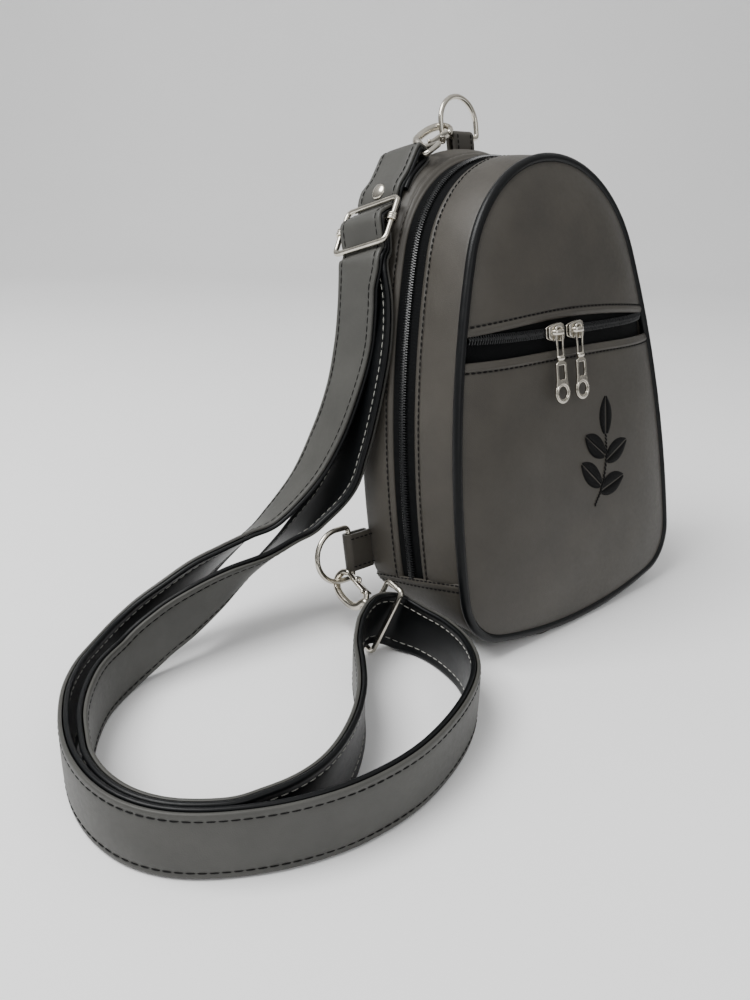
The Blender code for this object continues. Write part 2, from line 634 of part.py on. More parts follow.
# ---- strap -----------------------------------------------------------------------------
def strap_stations():
    """The strap's middle line and the direction across it, chosen by hand.

    Each station is a point and the way from the strap's near or upper edge to its far or
    lower edge.  It runs from the tail at the top hook, through the slider, round the loop
    on the table, through the lower hook and back up to the slider.
    """
    slider = slider_frame()
    across = slider.to_3x3() @ Vector((-1, 0, 0))
    stations = [((-54.0, 81.8, 226.5), (-0.06, 1.0, -0.16)),
                ((-46.3, 84.3, 234.1), (-0.06, 1.0, -0.22))]
    loop = loop_frame("top")
    wrap = WIRE + GAP + LINING_THICK + LAYER_GAP / 2 + 0.5
    for turn in range(-90, 91, 30):
        spoke = Vector((0.0, wrap * math.cos(math.radians(turn)), -wrap * math.sin(math.radians(turn))))
        stations.append((tuple(loop @ (spoke * MM) / MM), tuple(loop.to_3x3() @ Vector((1, 0, 0)))))
    stations += [((-49.6, 84.9, 236.0), (-0.07, 1.0, -0.23)),
                 ((-55.8, 83.9, 229.4), (-0.1, 1.0, -0.25))]
    weave = [(19.5, -3.0), (14.0, -4.9), (7.0, 0.0), (0.0, 3.8), (-7.0, 0.0), (-14.0, -4.3), (-20.5, -3.6)]
    for along, out in weave:
        place = slider @ (Vector((0.0, along, out)) * MM) / MM
        stations.append((tuple(place), tuple(across)))
    stations += [((-83.5, 70.5, 182.0), (0.0, 1.0, -0.05)),
                 ((-85.0, 69.2, 168.0), (0.0, 1.0, 0.0)),
                 ((-88.0, 68.0, 149.0), (0.0, 1.0, 0.0)),
                 ((-94.5, 68.0, 126.0), (0.1, 1.0, 0.0)),
                 ((-104.0, 69.5, 102.5), (0.15, 1.0, 0.0)),
                 ((-118.0, 72.0, 79.0), (0.15, 0.97, -0.2)),
                 ((-138.5, 76.0, 58.5), (0.15, 0.92, -0.35)),
                 ((-155.0, 78.5, 50.0), (0.18, 0.8, -0.55)),
                 ((-171.0, 79.0, 43.0), (0.15, 0.65, -0.75)),
                 ((-187.0, 78.5, 36.5), (0.1, 0.45, -0.9)),
                 ((-203.0, 77.0, 29.0), (0.1, 0.28, -0.95)),
                 ((-219.0, 75.0, 21.8), (0.05, 0.12, -1.0)),
                 ((-234.0, 69.5, 16.6), (0.0, 0.0, -1.0))]
    floor_loop = [(-248, 60.5), (-261, 49), (-272, 35), (-280, 20), (-286, 4), (-289.5, -13), (-289.5, -31),
                  (-285, -48), (-275, -63), (-258.5, -76), (-236, -87), (-210, -93), (-180, -92),
                  (-148, -82), (-123, -67), (-108.5, -48), (-102.6, -28), (-102.4, -10)]
    for x, y in floor_loop:
        stations.append(((x, y, 14.7), (0.0, 0.0, -1.0)))
    stations += [((-106.0, 1.6, 15.8), (-0.2, 0.1, -1.0)),
                 ((-109.6, 5.8, 17.8), (-0.28, 0.14, -0.95)),
                 ((-115.4, 8.2, 19.4), (-0.33, 0.16, -0.93)),
                 ((-121.6, 8.7, 19.8), (-0.28, 0.14, -0.95)),
                 ((-127.6, 6.8, 19.2), (-0.2, 0.1, -1.0)),
                 ((-133.2, 3.0, 17.8), (-0.1, 0.05, -1.0)),
                 ((-138.8, -2.0, 16.2), (-0.05, 0.02, -1.0))]
    inner_loop = [(-149.5, -14), (-161, -30), (-173, -45), (-187, -58), (-202, -68), (-216, -74), (-230, -76),
                  (-243.5, -74.5), (-256.5, -71), (-271.5, -59.5), (-280.5, -46), (-284.5, -30.5),
                  (-284, -15), (-280, -1), (-274.5, 13), (-265.5, 28), (-253, 42.5), (-235, 55)]
    for x, y in inner_loop:
        stations.append(((x, y, 14.7), (0.0, 0.0, -1.0)))
    stations += [((-215.5, 59.0, 22.0), (0.0, 0.05, -1.0)),
                 ((-197.0, 60.0, 28.5), (0.0, 0.15, -1.0)),
                 ((-178.0, 62.0, 34.0), (0.1, 0.4, -0.9)),
                 ((-154.0, 64.5, 40.5), (0.15, 0.75, -0.6)),
                 ((-135.0, 66.5, 47.5), (0.15, 0.88, -0.4)),
                 ((-123.5, 66.5, 53.5), (0.0, 0.95, -0.28)),
                 ((-115.5, 65.5, 60.0), (0.0, 0.96, -0.25)),
                 ((-107.5, 62.5, 69.5), (0.0, 0.97, -0.2)),
                 ((-101.5, 59.0, 81.0), (0.0, 0.98, -0.15)),
                 ((-97.5, 58.2, 94.0), (0.0, 1.0, -0.1)),
                 ((-94.0, 57.6, 107.0), (0.0, 1.0, 0.0)),
                 ((-88.5, 57.0, 130.0), (0.0, 1.0, 0.0)),
                 ((-83.6, 58.0, 152.0), (0.0, 1.0, 0.0)),
                 ((-79.0, 63.5, 174.0), (0.0, 1.0, 0.0))]
    for along, out in ((-21.5, -8.9), (-14.0, -8.7), (-9.0, -6.6), (-4.4, -4.2)):
        place = slider @ (Vector((0.0, along, out)) * MM) / MM
        stations.append((tuple(place), tuple(across)))
    return [(Vector(place), Vector(way).normalized()) for place, way in stations]


def smooth_between(before, start, end, after, share):
    """Catmull-Rom value between start and end."""
    square = share * share
    cube = square * share
    return (2 * start + (end - before) * share + (2 * before - 5 * start + 4 * end - after) * square
            + (3 * start - before - 3 * end + after) * cube) / 2


def smooth_strap(pieces=2):
    """Stations of the strap on one smooth curve."""
    rough = strap_stations()
    places = [place for place, way in rough]
    ways = [way for place, way in rough]
    line = []
    for index in range(len(rough) - 1):
        picks = [max(index - 1, 0), index, index + 1, min(index + 2, len(rough) - 1)]
        for step in range(pieces):
            share = step / pieces
            place = smooth_between(*[places[pick] for pick in picks], share)
            way = smooth_between(*[ways[pick] for pick in picks], share).normalized()
            line.append((place, way))
    line.append(rough[-1])
    return line


def strap_layer(name, line, height, thick, side, look, parts):
    """One layer of the strap, grown from a surface at a height above its middle surface."""
    bm = bmesh.new()
    last = len(line) - 1
    bmesh.ops.create_grid(bm, x_segments=last, y_segments=1, size=1.0)
    start = min(bm.verts, key=lambda vert: vert.co.x)
    for vert in bm.verts:
        index = round((vert.co.x + 1.0) / 2.0 * last)
        place, way = line[index]
        along = (line[min(index + 1, last)][0] - line[max(index - 1, 0)][0]).normalized()
        out = way.cross(along).normalized()
        across = along.cross(out).normalized()
        vert.co = (place + across * (vert.co.y * STRAP_WIDTH / 2) + out * height) * MM
    bmesh.ops.triangulate(bm, faces=bm.faces, quad_method="FIXED")
    bmesh.ops.recalc_face_normals(bm, faces=bm.faces)
    bm.normal_update()
    if start.link_faces[0].normal.dot(line[0][1].cross(line[1][0] - line[0][0])) < 0:
        bmesh.ops.reverse_faces(bm, faces=bm.faces)
    thicken(add_object(name, bm, look, parts), thick, side)


def make_strap(parts):
    """The strap's grey face and its black lining."""
    line = smooth_strap()
    strap_layer("strap_face", line, LAYER_GAP / 2, FACE_THICK, 1, leather(), parts)
    strap_layer("strap_lining", line, -LAYER_GAP / 2, LINING_THICK, -1, black_leather(), parts)


# ---- hinges ----------------------------------------------------------------------------
def put_origins(names, point, parts):
    """Move the origins of some pieces to a point on the axis they turn about."""
    bpy.context.view_layer.update()
    place = Matrix.Translation(Vector(point) * MM)
    for name in names:
        piece = parts.objects[name]
        piece.data.transform(place.inverted() @ piece.matrix_world)
        piece.matrix_world = place


def hinge_everything(parts):
    """Give each moving piece its origin on its own hinge."""
    front = ["front_panel_lower", "front_panel_upper", "pocket_zip_tape_lower", "pocket_zip_tape_upper",
             "pocket_zip_coil", "pocket_lining", "front_piping", "front_gusset",
             "main_zip_tape_front", "main_zip_coil_front"]
    put_origins(front, (0.0, FRONT_Y + LEAN * BOTTOM_Z, BOTTOM_Z), parts)
    bow_centre = FRONT_Y - FRONT_BULGE + GAP + POCKET_ARC + LEAN * POCKET_Z
    side, radius = outline_arcs()[1][:2]
    lean_radius = radius * (1 + LEAN ** 2)
    side_centre = (side.x + radius - lean_radius, ZIP_Y + LEAN * side.y, side.y)
    placements = {"pocket_left": pocket_slider_frame(SLIDER_X[0]),
                  "pocket_right": pocket_slider_frame(SLIDER_X[1]),
                  "main": main_slider_frame()}
    for name, frame in placements.items():
        centre = side_centre if name == "main" else (0.0, bow_centre, POCKET_Z)
        put_origins([name + "_slider"], centre, parts)
        out = GAP + SLIDER_HEIGHT + GAP + LINK_RADIUS
        for piece, up in (("_link", LINK_TOP), ("_pull", LINK_TOP - PULL_REACH * LINK_SHARE)):
            put_origins([name + piece], local_points(frame, [(0.0, up, out)])[0], parts)
    for name in ("top", "lower"):
        put_origins([name + "_ring"], ring_frame(name).translation / MM, parts)
        hook = hook_frame(name)
        put_origins([name + "_hook_jaw"], hook.translation / MM, parts)
        put_origins([name + "_hook_lever"], local_points(hook, [LEVER_HINGE])[0], parts)


# ---- the whole bag ---------------------------------------------------------------------
def main():
    """Build every piece of the bag."""
    clear_scene()
    parts = bpy.data.collections.new("sling_bag")
    bpy.context.scene.collection.children.link(parts)
    make_front(parts)
    make_back(parts)
    for name, length, root in (("top", 16.0, 9.6), ("lower", 21.0, 13.2)):
        make_ring(name, parts)
        make_tab(name, length, root, parts)
        make_hook(name, parts)
    make_strap_slider(parts)
    make_strap(parts)
    for name, x in zip(("pocket_left", "pocket_right"), SLIDER_X):
        make_zip_slider(name, pocket_slider_frame(x), (SLIDER_LENGTH, SLIDER_WIDTH), PULL_REACH, parts)
    make_zip_slider("main", main_slider_frame(), (SLIDER_WIDTH, SLIDER_LENGTH), PULL_REACH, parts)
    hinge_everything(parts)


main()
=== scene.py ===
"""Looks of a small leatherette sling bag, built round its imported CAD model.

Lengths are in millimetres and become metres when a mesh is made.  The bag is drawn upright
and leans back by LEAN, as its CAD does.
"""
import math

import bmesh
import bpy
import numpy as np
from mathutils import Matrix, Vector

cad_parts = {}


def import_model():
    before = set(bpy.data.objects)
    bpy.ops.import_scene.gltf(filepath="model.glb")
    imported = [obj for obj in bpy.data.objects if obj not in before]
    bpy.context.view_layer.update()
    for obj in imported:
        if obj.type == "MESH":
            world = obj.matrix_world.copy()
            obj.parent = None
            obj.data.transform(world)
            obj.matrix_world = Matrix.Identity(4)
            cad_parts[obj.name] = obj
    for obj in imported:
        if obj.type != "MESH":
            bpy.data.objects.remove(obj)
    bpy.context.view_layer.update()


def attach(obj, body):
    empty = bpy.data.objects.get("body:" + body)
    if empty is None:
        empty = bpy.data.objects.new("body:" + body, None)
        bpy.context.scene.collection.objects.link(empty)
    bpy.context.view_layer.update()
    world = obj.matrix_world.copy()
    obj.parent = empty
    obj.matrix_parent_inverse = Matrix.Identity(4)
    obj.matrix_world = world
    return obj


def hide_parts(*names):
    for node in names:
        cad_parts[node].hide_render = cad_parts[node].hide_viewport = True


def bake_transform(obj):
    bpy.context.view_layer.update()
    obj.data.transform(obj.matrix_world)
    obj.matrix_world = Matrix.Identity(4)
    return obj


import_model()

MM = 0.001

# ---- the bag's own dimensions, as in its CAD --------------------------------------------
LEAN = 0.215
TOP_Z = 247.5
BOTTOM_Z = 2.5
TOP_RADIUS = 70.0
HALF_WIDTH = 91.5
WIDEST_Z = 49.0
CORNER_RADIUS = 27.0
BOTTOM_RADIUS = 310.0
FLAT_HALF = 30.0
FRONT_Y = -37.0
BACK_Y = 36.6
PIPING_RADIUS = 2.5
FRONT_BULGE = 8.6
BACK_BULGE = 3.0
SEAM_Z = 34.0               # cross seam at the plane of the bag's middle
SEAM_SLOPE = 0.27           # it drops this much for each unit towards the back
ZIP_Y = 2.6
STRIP_FRONT_EDGE = -6.7
STRIP_BACK_EDGE = 11.9
POCKET_Z = 163.0
POCKET_LOW = 152.2
POCKET_HIGH = 169.5
POCKET_TUCK = 2.5
POCKET_ARC = 600.0
PITCH = 1.35                # spacing of the zips' teeth
STITCH = 3.3                # spacing of the sewing stitches
MIRROR = np.array([-1.0, 1.0])          # turns the outline's right half into its left
TAPE_REACH = 12.0           # the main zip's tapes reach this far from its teeth
LINING_INSET = 5.0          # linings end this far inside the outline
SEAM_THREAD = 0.38          # radius of the thread along the bag's seams
SEAM_RISE = 0.22            # its middle stands this far out of the leather
SLIDER_PLACES = (("pocket_left", -20.0), ("pocket_right", -3.5))    # across the pocket zip
MAIN_SLIDER_Z = 56.0        # the main slider is parked low on the right side


# ---- materials -------------------------------------------------------------------------
def new_material(name):
    """An empty node material with its Principled shader and object coordinates."""
    made = bpy.data.materials.new(name)
    made.use_nodes = True
    tree = made.node_tree
    shader = tree.nodes["Principled BSDF"]
    coords = tree.nodes.new("ShaderNodeTexCoord")
    return made, tree, shader, coords.outputs["Object"]


def noise_node(tree, coords, scale, detail=3.0, rough=0.5):
    """A noise texture at a scale in cells per metre."""
    node = tree.nodes.new("ShaderNodeTexNoise")
    node.inputs["Scale"].default_value = scale
    node.inputs["Detail"].default_value = detail
    node.inputs["Roughness"].default_value = rough
    tree.links.new(coords, node.inputs["Vector"])
    return node.outputs["Fac"]


def voronoi_node(tree, coords, scale, feature="F1"):
    """A cell texture at a scale in cells per metre."""
    node = tree.nodes.new("ShaderNodeTexVoronoi")
    node.feature = feature
    node.inputs["Scale"].default_value = scale
    tree.links.new(coords, node.inputs["Vector"])
    return node.outputs["Distance"]


def ramp_between(tree, factor, low, high, start=0.3, end=0.7):
    """A colour ramp from low to high."""
    node = tree.nodes.new("ShaderNodeValToRGB")
    node.color_ramp.elements[0].position = start
    node.color_ramp.elements[0].color = (*low, 1.0)
    node.color_ramp.elements[1].position = end
    node.color_ramp.elements[1].color = (*high, 1.0)
    tree.links.new(factor, node.inputs["Fac"])
    return node.outputs["Color"]


def range_between(tree, factor, low, high):
    """A factor mapped to a range of plain numbers."""
    node = tree.nodes.new("ShaderNodeMapRange")
    node.inputs["To Min"].default_value = low
    node.inputs["To Max"].default_value = high
    tree.links.new(factor, node.inputs["Value"])
    return node.outputs["Result"]


def bump(tree, shader, height, distance, strength, under=None):
    """Bump from a height, over another bump if there is one."""
    node = tree.nodes.new("ShaderNodeBump")
    node.inputs["Strength"].default_value = strength
    node.inputs["Distance"].default_value = distance
    tree.links.new(height, node.inputs["Height"])
    if under is not None:
        tree.links.new(under, node.inputs["Normal"])
    tree.links.new(node.outputs["Normal"], shader.inputs["Normal"])
    return node.outputs["Normal"]


def leather_material(name, colour, rough, grain=1.0, shine=0.36):
    """Leatherette: pebbled grain, fine pores and soft patches of colour and gloss."""
    made, tree, shader, coords = new_material(name)
    low = tuple(channel * 0.86 for channel in colour)
    high = tuple(channel * 1.13 for channel in colour)
    patches = noise_node(tree, coords, 38.0, 4.0, 0.6)
    tree.links.new(ramp_between(tree, patches, low, high), shader.inputs["Base Color"])
    gloss = noise_node(tree, coords, 420.0, 2.0)
    tree.links.new(range_between(tree, gloss, rough - 0.07, rough + 0.09), shader.inputs["Roughness"])
    cells = voronoi_node(tree, coords, 1150.0, "DISTANCE_TO_EDGE")
    first = bump(tree, shader, cells, 0.00018 * grain, 0.42)
    pores = noise_node(tree, coords, 3200.0, 2.0)
    bump(tree, shader, pores, 0.00008 * grain, 0.35, first)
    shader.inputs["Specular IOR Level"].default_value = shine
    return made


def weave_material(name, colour, scale, rough=0.85):
    """Woven tape or lining: crossing threads in colour and bump."""
    made, tree, shader, coords = new_material(name)
    high = tuple(channel * 1.9 for channel in colour)
    waves = []
    for direction in ("X", "Y", "Z"):
        wave = tree.nodes.new("ShaderNodeTexWave")
        wave.bands_direction = direction
        wave.inputs["Scale"].default_value = scale
        wave.inputs["Distortion"].default_value = 0.6
        tree.links.new(coords, wave.inputs["Vector"])
        waves.append(wave.outputs["Fac"])
    total = waves[0]
    for wave in waves[1:]:
        node = tree.nodes.new("ShaderNodeMath")
        node.operation = "MULTIPLY_ADD"
        node.inputs[1].default_value = 0.5
        tree.links.new(wave, node.inputs[0])
        tree.links.new(total, node.inputs[2])
        total = node.outputs[0]
    tree.links.new(ramp_between(tree, total, colour, high, 0.2, 1.6), shader.inputs["Base Color"])
    bump(tree, shader, total, 0.0002, 0.5)
    shader.inputs["Roughness"].default_value = rough
    shader.inputs["Specular IOR Level"].default_value = 0.12
    return made


def plastic_material(name, colour, rough):
    """Moulded nylon with faint flow marks."""
    made, tree, shader, coords = new_material(name)
    marks = noise_node(tree, coords, 900.0, 2.0)
    high = tuple(channel * 1.5 + 0.004 for channel in colour)
    tree.links.new(ramp_between(tree, marks, colour, high), shader.inputs["Base Color"])
    tree.links.new(range_between(tree, marks, rough - 0.06, rough + 0.08), shader.inputs["Roughness"])
    return made


def metal_material(name, colour, rough):
    """Plated metal with hairline wear and a little tarnish."""
    made, tree, shader, coords = new_material(name)
    shader.inputs["Metallic"].default_value = 1.0
    tarnish = noise_node(tree, coords, 160.0, 4.0, 0.65)
    low = tuple(channel * 0.72 for channel in colour)
    tree.links.new(ramp_between(tree, tarnish, low, colour, 0.25, 0.6), shader.inputs["Base Color"])
    wear = noise_node(tree, coords, 700.0, 3.0)
    tree.links.new(range_between(tree, wear, rough - 0.06, rough + 0.12), shader.inputs["Roughness"])
    bump(tree, shader, noise_node(tree, coords, 420.0, 2.0), 0.0001, 0.12)
    return made


def thread_material(name, colour, sheen, shine):
    """Sewing thread: fine twisted fibres."""
    made, tree, shader, coords = new_material(name)
    twist = tree.nodes.new("ShaderNodeTexWave")
    twist.bands_direction = "DIAGONAL"
    twist.inputs["Scale"].default_value = 900.0
    twist.inputs["Distortion"].default_value = 1.0
    tree.links.new(coords, twist.inputs["Vector"])
    high = tuple(min(channel * 1.5, 1.0) for channel in colour)
    tree.links.new(ramp_between(tree, twist.outputs["Fac"], colour, high), shader.inputs["Base Color"])
    bump(tree, shader, twist.outputs["Fac"], 0.0001, 0.5)
    shader.inputs["Roughness"].default_value = 0.6
    shader.inputs["Sheen Weight"].default_value = sheen
    shader.inputs["Specular IOR Level"].default_value = shine
    return made


GREY = leather_material("grey_leatherette", (0.046, 0.0415, 0.0345), 0.5)
STRAP_GREY = leather_material("strap_leatherette", (0.054, 0.0535, 0.0485), 0.5, 0.8)
BLACK = leather_material("black_leatherette", (0.0022, 0.0027, 0.0032), 0.36, 0.7, 0.24)
TAPE = weave_material("black_zip_tape", (0.0014, 0.0016, 0.0018), 700.0)
LINING = weave_material("black_lining", (0.005, 0.0055, 0.006), 480.0)
COIL = plastic_material("nylon_coil", (0.004, 0.0045, 0.005), 0.28)
NICKEL = metal_material("polished_nickel", (0.62, 0.585, 0.51), 0.16)
BLACK_THREAD = thread_material("black_thread", (0.0016, 0.0016, 0.0018), 0.0, 0.14)
CREAM_THREAD = thread_material("cream_thread", (0.26, 0.26, 0.235), 0.2, 0.5)


# ---- mesh helpers ----------------------------------------------------------------------
class Build:
    """Vertices and faces gathered for one piece."""

    def __init__(self):
        self.points = []
        self.faces = []
        self.slots = []
        self.count = 0

    def add(self, points, faces, slot=0):
        """Add a patch whose faces count from its own first vertex."""
        points = np.asarray(points, float).reshape(-1, 3)
        self.points.append(points)
        self.faces += [tuple(int(index) + self.count for index in face) for face in faces]
        self.slots += [slot] * len(faces)
        self.count += len(points)

    def grid(self, points, slot=0, wrap_rows=False, wrap_columns=False, caps=False):
        """Add a grid of quads, closed along its rows or columns and capped where asked."""
        rows, columns = points.shape[:2]
        faces = grid_faces(rows, columns, wrap_rows, wrap_columns)
        if caps:
            faces.append(tuple(range(columns)))
            faces.append(tuple(range((rows - 1) * columns, rows * columns)))
        self.add(points, faces, slot)

    def shell(self, outer, inner, slot=0):
        """Add a closed sheet between two grids of the same shape."""
        rows, columns = outer.shape[:2]
        behind = rows * columns
        faces = grid_faces(rows, columns)
        faces += [tuple(index + behind for index in face) for face in faces]
        rim = list(range(columns)) + [row * columns + columns - 1 for row in range(1, rows)]
        rim += [(rows - 1) * columns + column for column in range(columns - 2, -1, -1)]
        rim += [row * columns for row in range(rows - 2, 0, -1)]
        for here, there in zip(rim, rim[1:] + rim[:1]):
            faces.append((here, there, there + behind, here + behind))
        self.add(np.concatenate([outer.reshape(-1, 3), inner.reshape(-1, 3)]), faces, slot)

    def tube(self, path, radius, sides=12, closed=False, slot=0, flat=1.0, side_hint=(0, 0, 1)):
        """Add a tube along a path; flat stretches it along the hint's direction."""
        path = np.asarray(path, float)
        radii = np.broadcast_to(np.asarray(radius, float), (len(path),))
        along = tangents(path, closed)
        hint = np.asarray(side_hint, float)
        side = hint - along * (along @ hint)[:, None]
        weak = np.linalg.norm(side, axis=1) < 0.2
        side[weak] = np.cross(along[weak], (0.31, 0.87, 0.38))
        side /= np.linalg.norm(side, axis=1)[:, None]
        other = np.cross(along, side)
        turn = np.arange(sides) * 2 * math.pi / sides
        ring = (path[:, None] + radii[:, None, None]
                * (side[:, None] * np.cos(turn)[None, :, None] * flat
                   + other[:, None] * np.sin(turn)[None, :, None]))
        if not closed:
            ends = []
            for end, sign in ((0, -1), (-1, 1)):
                for lift, shrink in ((0.45, 0.85), (0.75, 0.5)):
                    centre = path[end] + along[end] * sign * radii[end] * lift
                    ends.append(centre + (ring[end] - path[end]) * shrink)
            ring = np.concatenate([[ends[1], ends[0]], ring, [ends[2], ends[3]]])
        self.grid(ring, slot, wrap_rows=closed, wrap_columns=True, caps=not closed)

    def make(self, name, materials, body, replaced=()):
        """Turn what was gathered into an object that rides on a body, or stays where it was built if it has
        none.
        """
        mesh = bpy.data.meshes.new(name)
        mesh.from_pydata((np.concatenate(self.points) * MM).tolist(), [], self.faces)
        for look in materials:
            mesh.materials.append(look)
        mesh.polygons.foreach_set("material_index", self.slots)
        shape = bmesh.new()
        shape.from_mesh(mesh)
        bmesh.ops.recalc_face_normals(shape, faces=shape.faces)
        shape.to_mesh(mesh)
        shape.free()
        mesh.shade_smooth()
        mesh.set_sharp_from_angle(angle=math.radians(50))
        made = bpy.data.objects.new(name, mesh)
        bpy.context.scene.collection.objects.link(made)
        if body:
            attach(made, body)
        else:
            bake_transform(made)
        if replaced:
            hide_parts(*replaced)
        return made


def grid_faces(rows, columns, wrap_rows=False, wrap_columns=False):
    """Quads of a grid whose points are numbered row by row."""
    faces = []
    for row in range(rows if wrap_rows else rows - 1):
        below = (row + 1) % rows
        for column in range(columns if wrap_columns else columns - 1):
            beside = (column + 1) % columns
            faces.append((row * columns + column, row * columns + beside,
                          below * columns + beside, below * columns + column))
    return faces


def tangents(path, closed=False):
    """Unit directions along a path."""
    if closed:
        along = np.roll(path, -1, axis=0) - np.roll(path, 1, axis=0)
    else:
        along = np.gradient(path, axis=0)
    return along / np.maximum(np.linalg.norm(along, axis=1), 1e-9)[:, None]


def resample(path, step=None, count=None, others=()):
    """Points at even spacing along a path, and other values at the same places."""
    path = np.asarray(path, float)
    gaps = np.linalg.norm(np.diff(path, axis=0), axis=1)
    reach = np.concatenate([[0], np.cumsum(gaps)])
    if count is None:
        count = max(int(round(reach[-1] / step)), 1) + 1
    places = np.linspace(0, reach[-1], count)
    made = [np.stack([np.interp(places, reach, column) for column in np.asarray(values, float).T], axis=1)
            for values in (path, *others)]
    return made if others else made[0]


# share of a stitch's length, share of its radius, and lift in radii
THREAD_RINGS = ((0.0, 0.3, -0.3), (0.14, 0.85, 0.0), (0.5, 1.0, 0.16), (0.86, 0.85, 0.0), (1.0, 0.3, -0.3))


def thread(build, start, end, up, radius, slot=0):
    """One stitch of thread from start to end, sunk at both ends."""
    go = end - start
    out = np.cross(up, go)
    out /= np.linalg.norm(out)
    rings = []
    for share, width, lift in THREAD_RINGS:
        base = start + go * share + up * lift * radius
        rings.append([base + radius * width * (out * math.cos(turn) + up * math.sin(turn))
                      for turn in np.arange(6) * math.pi / 3])
    build.grid(np.array(rings), slot, wrap_columns=True, caps=True)


def stitch_row(build, path, normals, slot, pitch=STITCH, length=0.74, radius=0.36, rise=0.12):
    """A row of stitches sunk into a surface along a path."""
    centres, ups = resample(path, step=pitch, others=(normals,))
    along = tangents(centres)
    ups = ups / np.linalg.norm(ups, axis=1)[:, None]
    half = pitch * length / 2
    for centre, go, up in zip(centres, along, ups):
        middle = centre + up * rise
        thread(build, middle - go * half, middle + go * half, up, radius, slot)


def ripple(points, size, amount, seed):
    """Soft uneven waves for a surface, one number a point."""
    x, y, z = (points[..., axis] / size for axis in range(3))
    wave = (np.sin(1.7 * x + 2.3 * z + seed) * np.sin(1.1 * y - 1.9 * z + 2 * seed)
            + 0.6 * np.sin(3.1 * z + 1.3 * y - 0.7 * seed) * np.sin(2.2 * x + 0.4 * seed)
            + 0.35 * np.sin(5.3 * z - 2.6 * x + 1.7 * seed))
    return wave * amount / 1.6


def lean(x, y, z):
    """Points of the upright bag after it leans back."""
    x, y, z = np.broadcast_arrays(x, y, z)
    return np.stack([x, y + LEAN * z, z], axis=-1).astype(float)


# ---- the bag's outline -----------------------------------------------------------------
def outline_arcs():
    """Centres and end angles of the tangent arcs that make the right half."""
    rise = TOP_Z - TOP_RADIUS - WIDEST_Z
    side_radius = (HALF_WIDTH ** 2 + rise ** 2 - TOP_RADIUS ** 2) / (2 * (HALF_WIDTH - TOP_RADIUS))
    top = Vector((0.0, TOP_Z - TOP_RADIUS))
    side = Vector((HALF_WIDTH - side_radius, WIDEST_Z))
    base = Vector((0.0, BOTTOM_Z + BOTTOM_RADIUS))
    to_side = side_radius - CORNER_RADIUS
    to_base = BOTTOM_RADIUS - CORNER_RADIUS
    between = base - side
    reach = (to_side ** 2 - to_base ** 2 + between.length_squared) / (2 * between.length)
    along = between.normalized()
    across = Vector((along.y, -along.x))
    corner = side + along * reach + across * math.sqrt(to_side ** 2 - reach ** 2)
    shoulder = math.atan2(top.y - side.y, top.x - side.x)
    hip = math.atan2(corner.y - side.y, corner.x - side.x)
    heel = math.atan2(corner.y - base.y, corner.x - base.x)
    return [(top, TOP_RADIUS, math.pi / 2, shoulder), (side, side_radius, shoulder, hip),
            (corner, CORNER_RADIUS, hip, heel), (base, BOTTOM_RADIUS, heel, -math.pi / 2)]


def right_half(step=1.5):
    """Points and outward normals of the right half, from the top middle to the bottom."""
    points = []
    normals = []
    for centre, radius, start, end in outline_arcs():
        steps = max(int(abs(end - start) * radius / step), 2)
        for index in range(1 if points else 0, steps + 1):
            angle = start + (end - start) * index / steps
            spoke = np.array([math.cos(angle), math.sin(angle)])
            points.append(np.array(centre) + spoke * radius)
            normals.append(spoke)
    points[0][0] = 0.0
    points[-1][0] = 0.0
    return np.array(points), np.array(normals)


OUTLINE, OUTLINE_NORMALS = right_half()


def offset_half(offset):
    """The right half at an offset, sorted by height for looking up widths."""
    points = OUTLINE + OUTLINE_NORMALS * offset
    return points[::-1]


def half_width(z, offset=0.0):
    """Half the outline's width at heights."""
    points = offset_half(offset)
    return np.interp(z, points[:, 1], points[:, 0])


def side_line(step=2.0, low_z=SEAM_Z):
    """Outline from the right seam over the top to the left seam, with its normals."""
    keep = OUTLINE[:, 1] > low_z
    points = OUTLINE[keep]
    normals = OUTLINE_NORMALS[keep]
    seam = np.array([float(half_width(low_z)), low_z])
    points = np.concatenate([points, [seam]])
    normals = np.concatenate([normals, [normals[-1]]])
    points = np.concatenate([points[::-1], points[1:] * MIRROR])
    normals = np.concatenate([normals[::-1], normals[1:] * MIRROR])
    return resample(points, step=step, others=(normals,))


def on_side(points, normals, offset, y):
    """Points of the bag's side at an offset from the outline and a depth."""
    moved = points + normals * np.asarray(offset)[..., None]
    return lean(moved[..., 0], y, moved[..., 1])


def side_normals(normals):
    """Outward directions of the bag's side in the bag's own axes."""
    return np.stack([normals[:, 0], np.zeros(len(normals)), normals[:, 1]], axis=1)


def swell_share(across, upright):
    """How much of the full bulge a panel has at a place, 0 at its edge."""
    return (1 - np.minimum(np.abs(across), 1) ** 4) * (1 - np.minimum(np.abs(upright), 1) ** 6)


def panel_depth(x, z, inset=1.0):
    """Depth of the front panel's face, below its border puff."""
    middle = (TOP_Z + BOTTOM_Z) / 2
    upright = (z - middle) / (middle - BOTTOM_Z - inset)
    half = np.maximum(half_width(z, -inset), 0.5)
    return FRONT_Y - 0.9 - FRONT_BULGE * swell_share(x / half, upright)


def bow_y(x):
    """Outer face of the pocket zip's tape at a place across the bag."""
    arc = FRONT_Y - 8.0 + 0.35 + POCKET_ARC - np.sqrt(POCKET_ARC ** 2 - x ** 2)
    behind = panel_depth(x, POCKET_HIGH + POCKET_TUCK) + 2.2
    return np.maximum(arc, behind)


